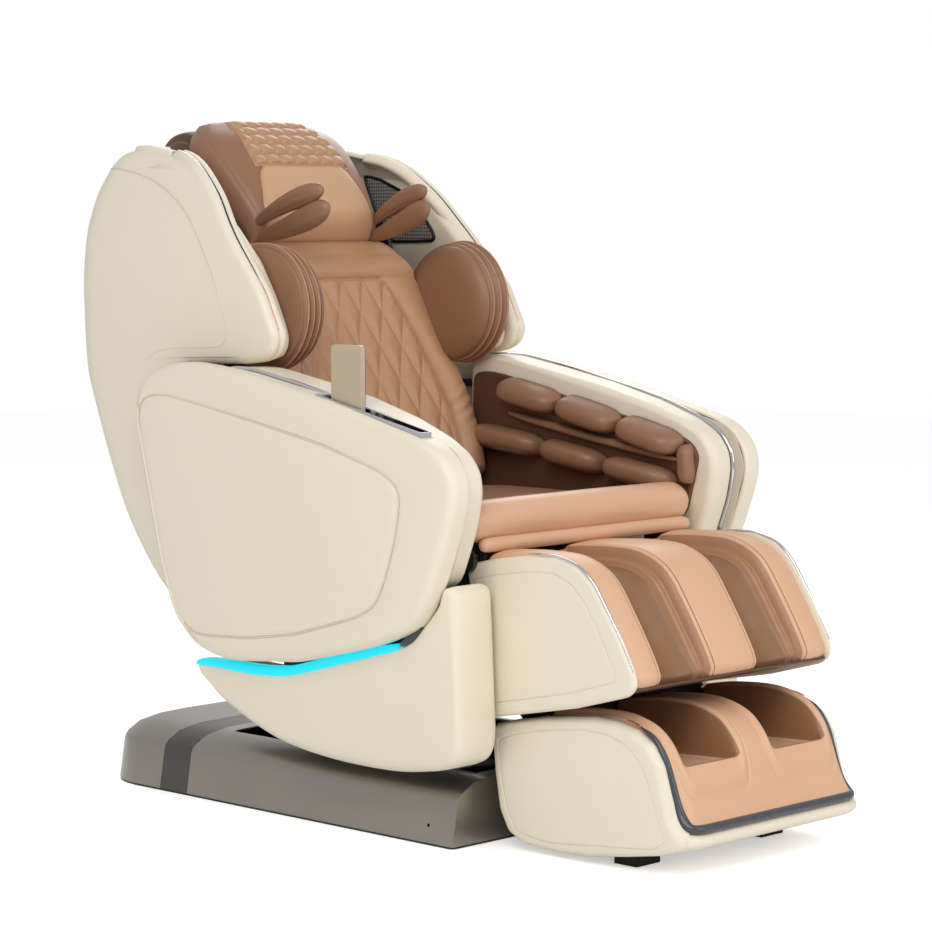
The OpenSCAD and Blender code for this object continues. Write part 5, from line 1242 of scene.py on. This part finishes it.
pil_base = (pil_c, pil_v, pil_n)
v_full = np.broadcast_to(v_grid, x_grid.shape)
pillow_mesh = sheet_solid("head_pillow_skin", on_base(x_grid, v_full, lift, *pil_base),
                          on_base(x_grid * 0.96, v_full, np.zeros_like(lift), *pil_base))
pillow_leather = leather("pillow_leather", (0.575, 0.42, 0.315), 0.40, 1.0, 0.04)
for at, (zone, tone) in enumerate((("panel", (0.80, 0.64, 0.505)), ("band", (0.73, 0.57, 0.44)))):
    zone_attribute(pillow_mesh, zone, lambda x, y, z: pillow_zones(
        x, (y - pil_c[1]) * pil_v[1] + (z - pil_c[2]) * pil_v[2])[at])
    add_tone(pillow_leather, zone, tone)
pil_o = place_piece("head_pillow_skin", pillow_mesh, pillow_leather, "back",
                    ["head_pillow"])
# the hood: a soft roll across the back, round in section, its ends drawn in, with long folds;
# a seam near each end parts a round side lobe from the wider band that wraps over it
hood_u = np.linspace(-1, 1, 90)[:, None]
hood_a = np.linspace(0, 2 * np.pi, 120, endpoint=False)[None]
hood_end = (1 - np.abs(hood_u) ** 5) ** 0.45
hood_fold = 1 - 0.055 * np.abs(np.cos(1.5 * hood_a + 0.5 * hood_u)) ** 10 - 0.02 * np.sin(
    5 * hood_u + 2 * hood_a)
hood_band = np.clip((0.80 - np.abs(hood_u)) / 0.05, 0, 1) ** 0.5
hood_seam = 1 - 0.22 * np.exp(-((np.abs(hood_u) - 0.82) / 0.028) ** 2)
hood_wide = hood_end * hood_fold * hood_seam * (1 + 0.10 * hood_band)
hood_half, hood_deep, hood_high = 0.165, 0.072, 0.062
hood_x = np.broadcast_to(hood_half * hood_u, hood_wide.shape)
hood_y = 0.424 + 0.012 * hood_band + hood_deep * hood_wide * np.cos(hood_a)
hood_z = 1.166 + hood_high * hood_wide * np.sin(hood_a)
hood_mesh = closed_stack("pillow_hood_skin", np.stack([hood_x, hood_y, hood_z], -1))
hood = place_piece("pillow_hood_skin", hood_mesh, deep_brown, "back", ["pillow_hood"])

# ---- Neck wings: two leaf pads at each side of the head ----
# Air cells under brown leather, sewn to a point at the root and rounded at the tip, with
# lengthwise pleats.


def leaf(name, root, tip, width, thick, belly, pleats):
    """Leaf pad from root to tip (x, y, z): its half width follows t^0.62 (1 - t^7)^0.5, its
    thickness t^0.7 (1 - t^8)^0.5, and pleats run lengthwise as shallow cosine grooves."""
    root, tip = np.array(root), np.array(tip)
    t = 0.5 - 0.5 * np.cos(np.linspace(0.0, np.pi, 64))
    a = np.linspace(0, 2 * np.pi, 56, endpoint=False)
    along = (tip - root) / np.linalg.norm(tip - root)
    side = np.cross(along, [0, 0, 1])
    side /= np.linalg.norm(side)
    over = np.cross(side, along)
    shape = (np.clip(t, 1e-4, 1) ** 0.62 * np.clip(1 - t ** 7, 1e-5, 1) ** 0.5)[:, None]
    fat = (np.clip(t, 1e-4, 1) ** 0.7 * np.clip(1 - t ** 8, 1e-5, 1) ** 0.5)[:, None]
    line = root + t[:, None] * (tip - root) + over * (belly * np.sin(np.pi * t ** 0.9))[:, None]
    groove = 1 - 0.09 * np.abs(np.cos(pleats * a))[None] ** 6 * np.sin(np.pi * t)[:, None]
    w = width / 2 * shape * np.sin(a)[None] * groove
    d = thick / 2 * (0.12 + 0.88 * fat) * shape ** 0.35 * np.cos(a)[None] * groove
    return closed_stack(name, line[:, None] + w[..., None] * over + d[..., None] * side)


wing_pads = [leaf("leaf", (0.150, 0.235, 1.024), (0.129, 0.026, 1.090), 0.062, 0.040, -0.008, 2),
             leaf("leaf", (0.154, 0.235, 1.036), (0.133, 0.038, 1.122), 0.050, 0.038, 0.010, 4)]
neck = place_piece("neck_wings_skin", both_sides("neck_wings_skin", joined("neck_wing_left", wing_pads)),
                   brown, "back", ["neck_wings"])

# ---- Shoulder pads ----
# Round bellows of brown leather on the inner wings: a smooth crowned face on three pleats,
# each edged by a thin light piping.
pad_c = np.array([0.062, 0.896])
egg = 0.116 * (1 + 0.085 * np.cos(np.linspace(-np.pi, np.pi, 160, endpoint=False) - math.radians(100)))
pleat_x, pleat_w, face_x, face_crown = 0.2645, 0.0160, 0.2165, 0.0245
rings = [outline_ring(egg * 0.90, pad_c, 0.2660), outline_ring(egg * 0.965, pad_c, 0.2655)]
cords = []
for k in range(3):
    top_x, size = pleat_x - pleat_w * k, 1 - 0.022 * k
    rings += [outline_ring(egg * size * g, pad_c, top_x - pleat_w * f) for f, g in
              ((0.0, 0.955), (0.2, 0.99), (0.42, 1.0), (0.62, 0.99), (0.82, 0.955), (1.0, 0.905))]
    cords.append(tube("piping", outline_ring(egg * size * 1.001, pad_c, top_x - 0.0066), 0.0014))
rings += [outline_ring(egg * (0.93 * math.cos(t) ** 0.55 + 0.0005), pad_c,
                       face_x - face_crown * math.sin(t) ** 1.15) for t in quarter(16)]
pad_mesh = closed_stack("shoulder_pad_left", np.stack(rings))
shoulder = place_piece("shoulder_pads_skin", both_sides("shoulder_pads_skin", pad_mesh), brown, "back",
                       ["shoulder_pads"])
light_brown = leather("light_brown_piping", (0.74, 0.56, 0.45), 0.4, 0.6, 0.02)
place_piece("shoulder_piping", both_sides("shoulder_piping", joined("shoulder_cords_left", cords)),
            light_brown, "back")
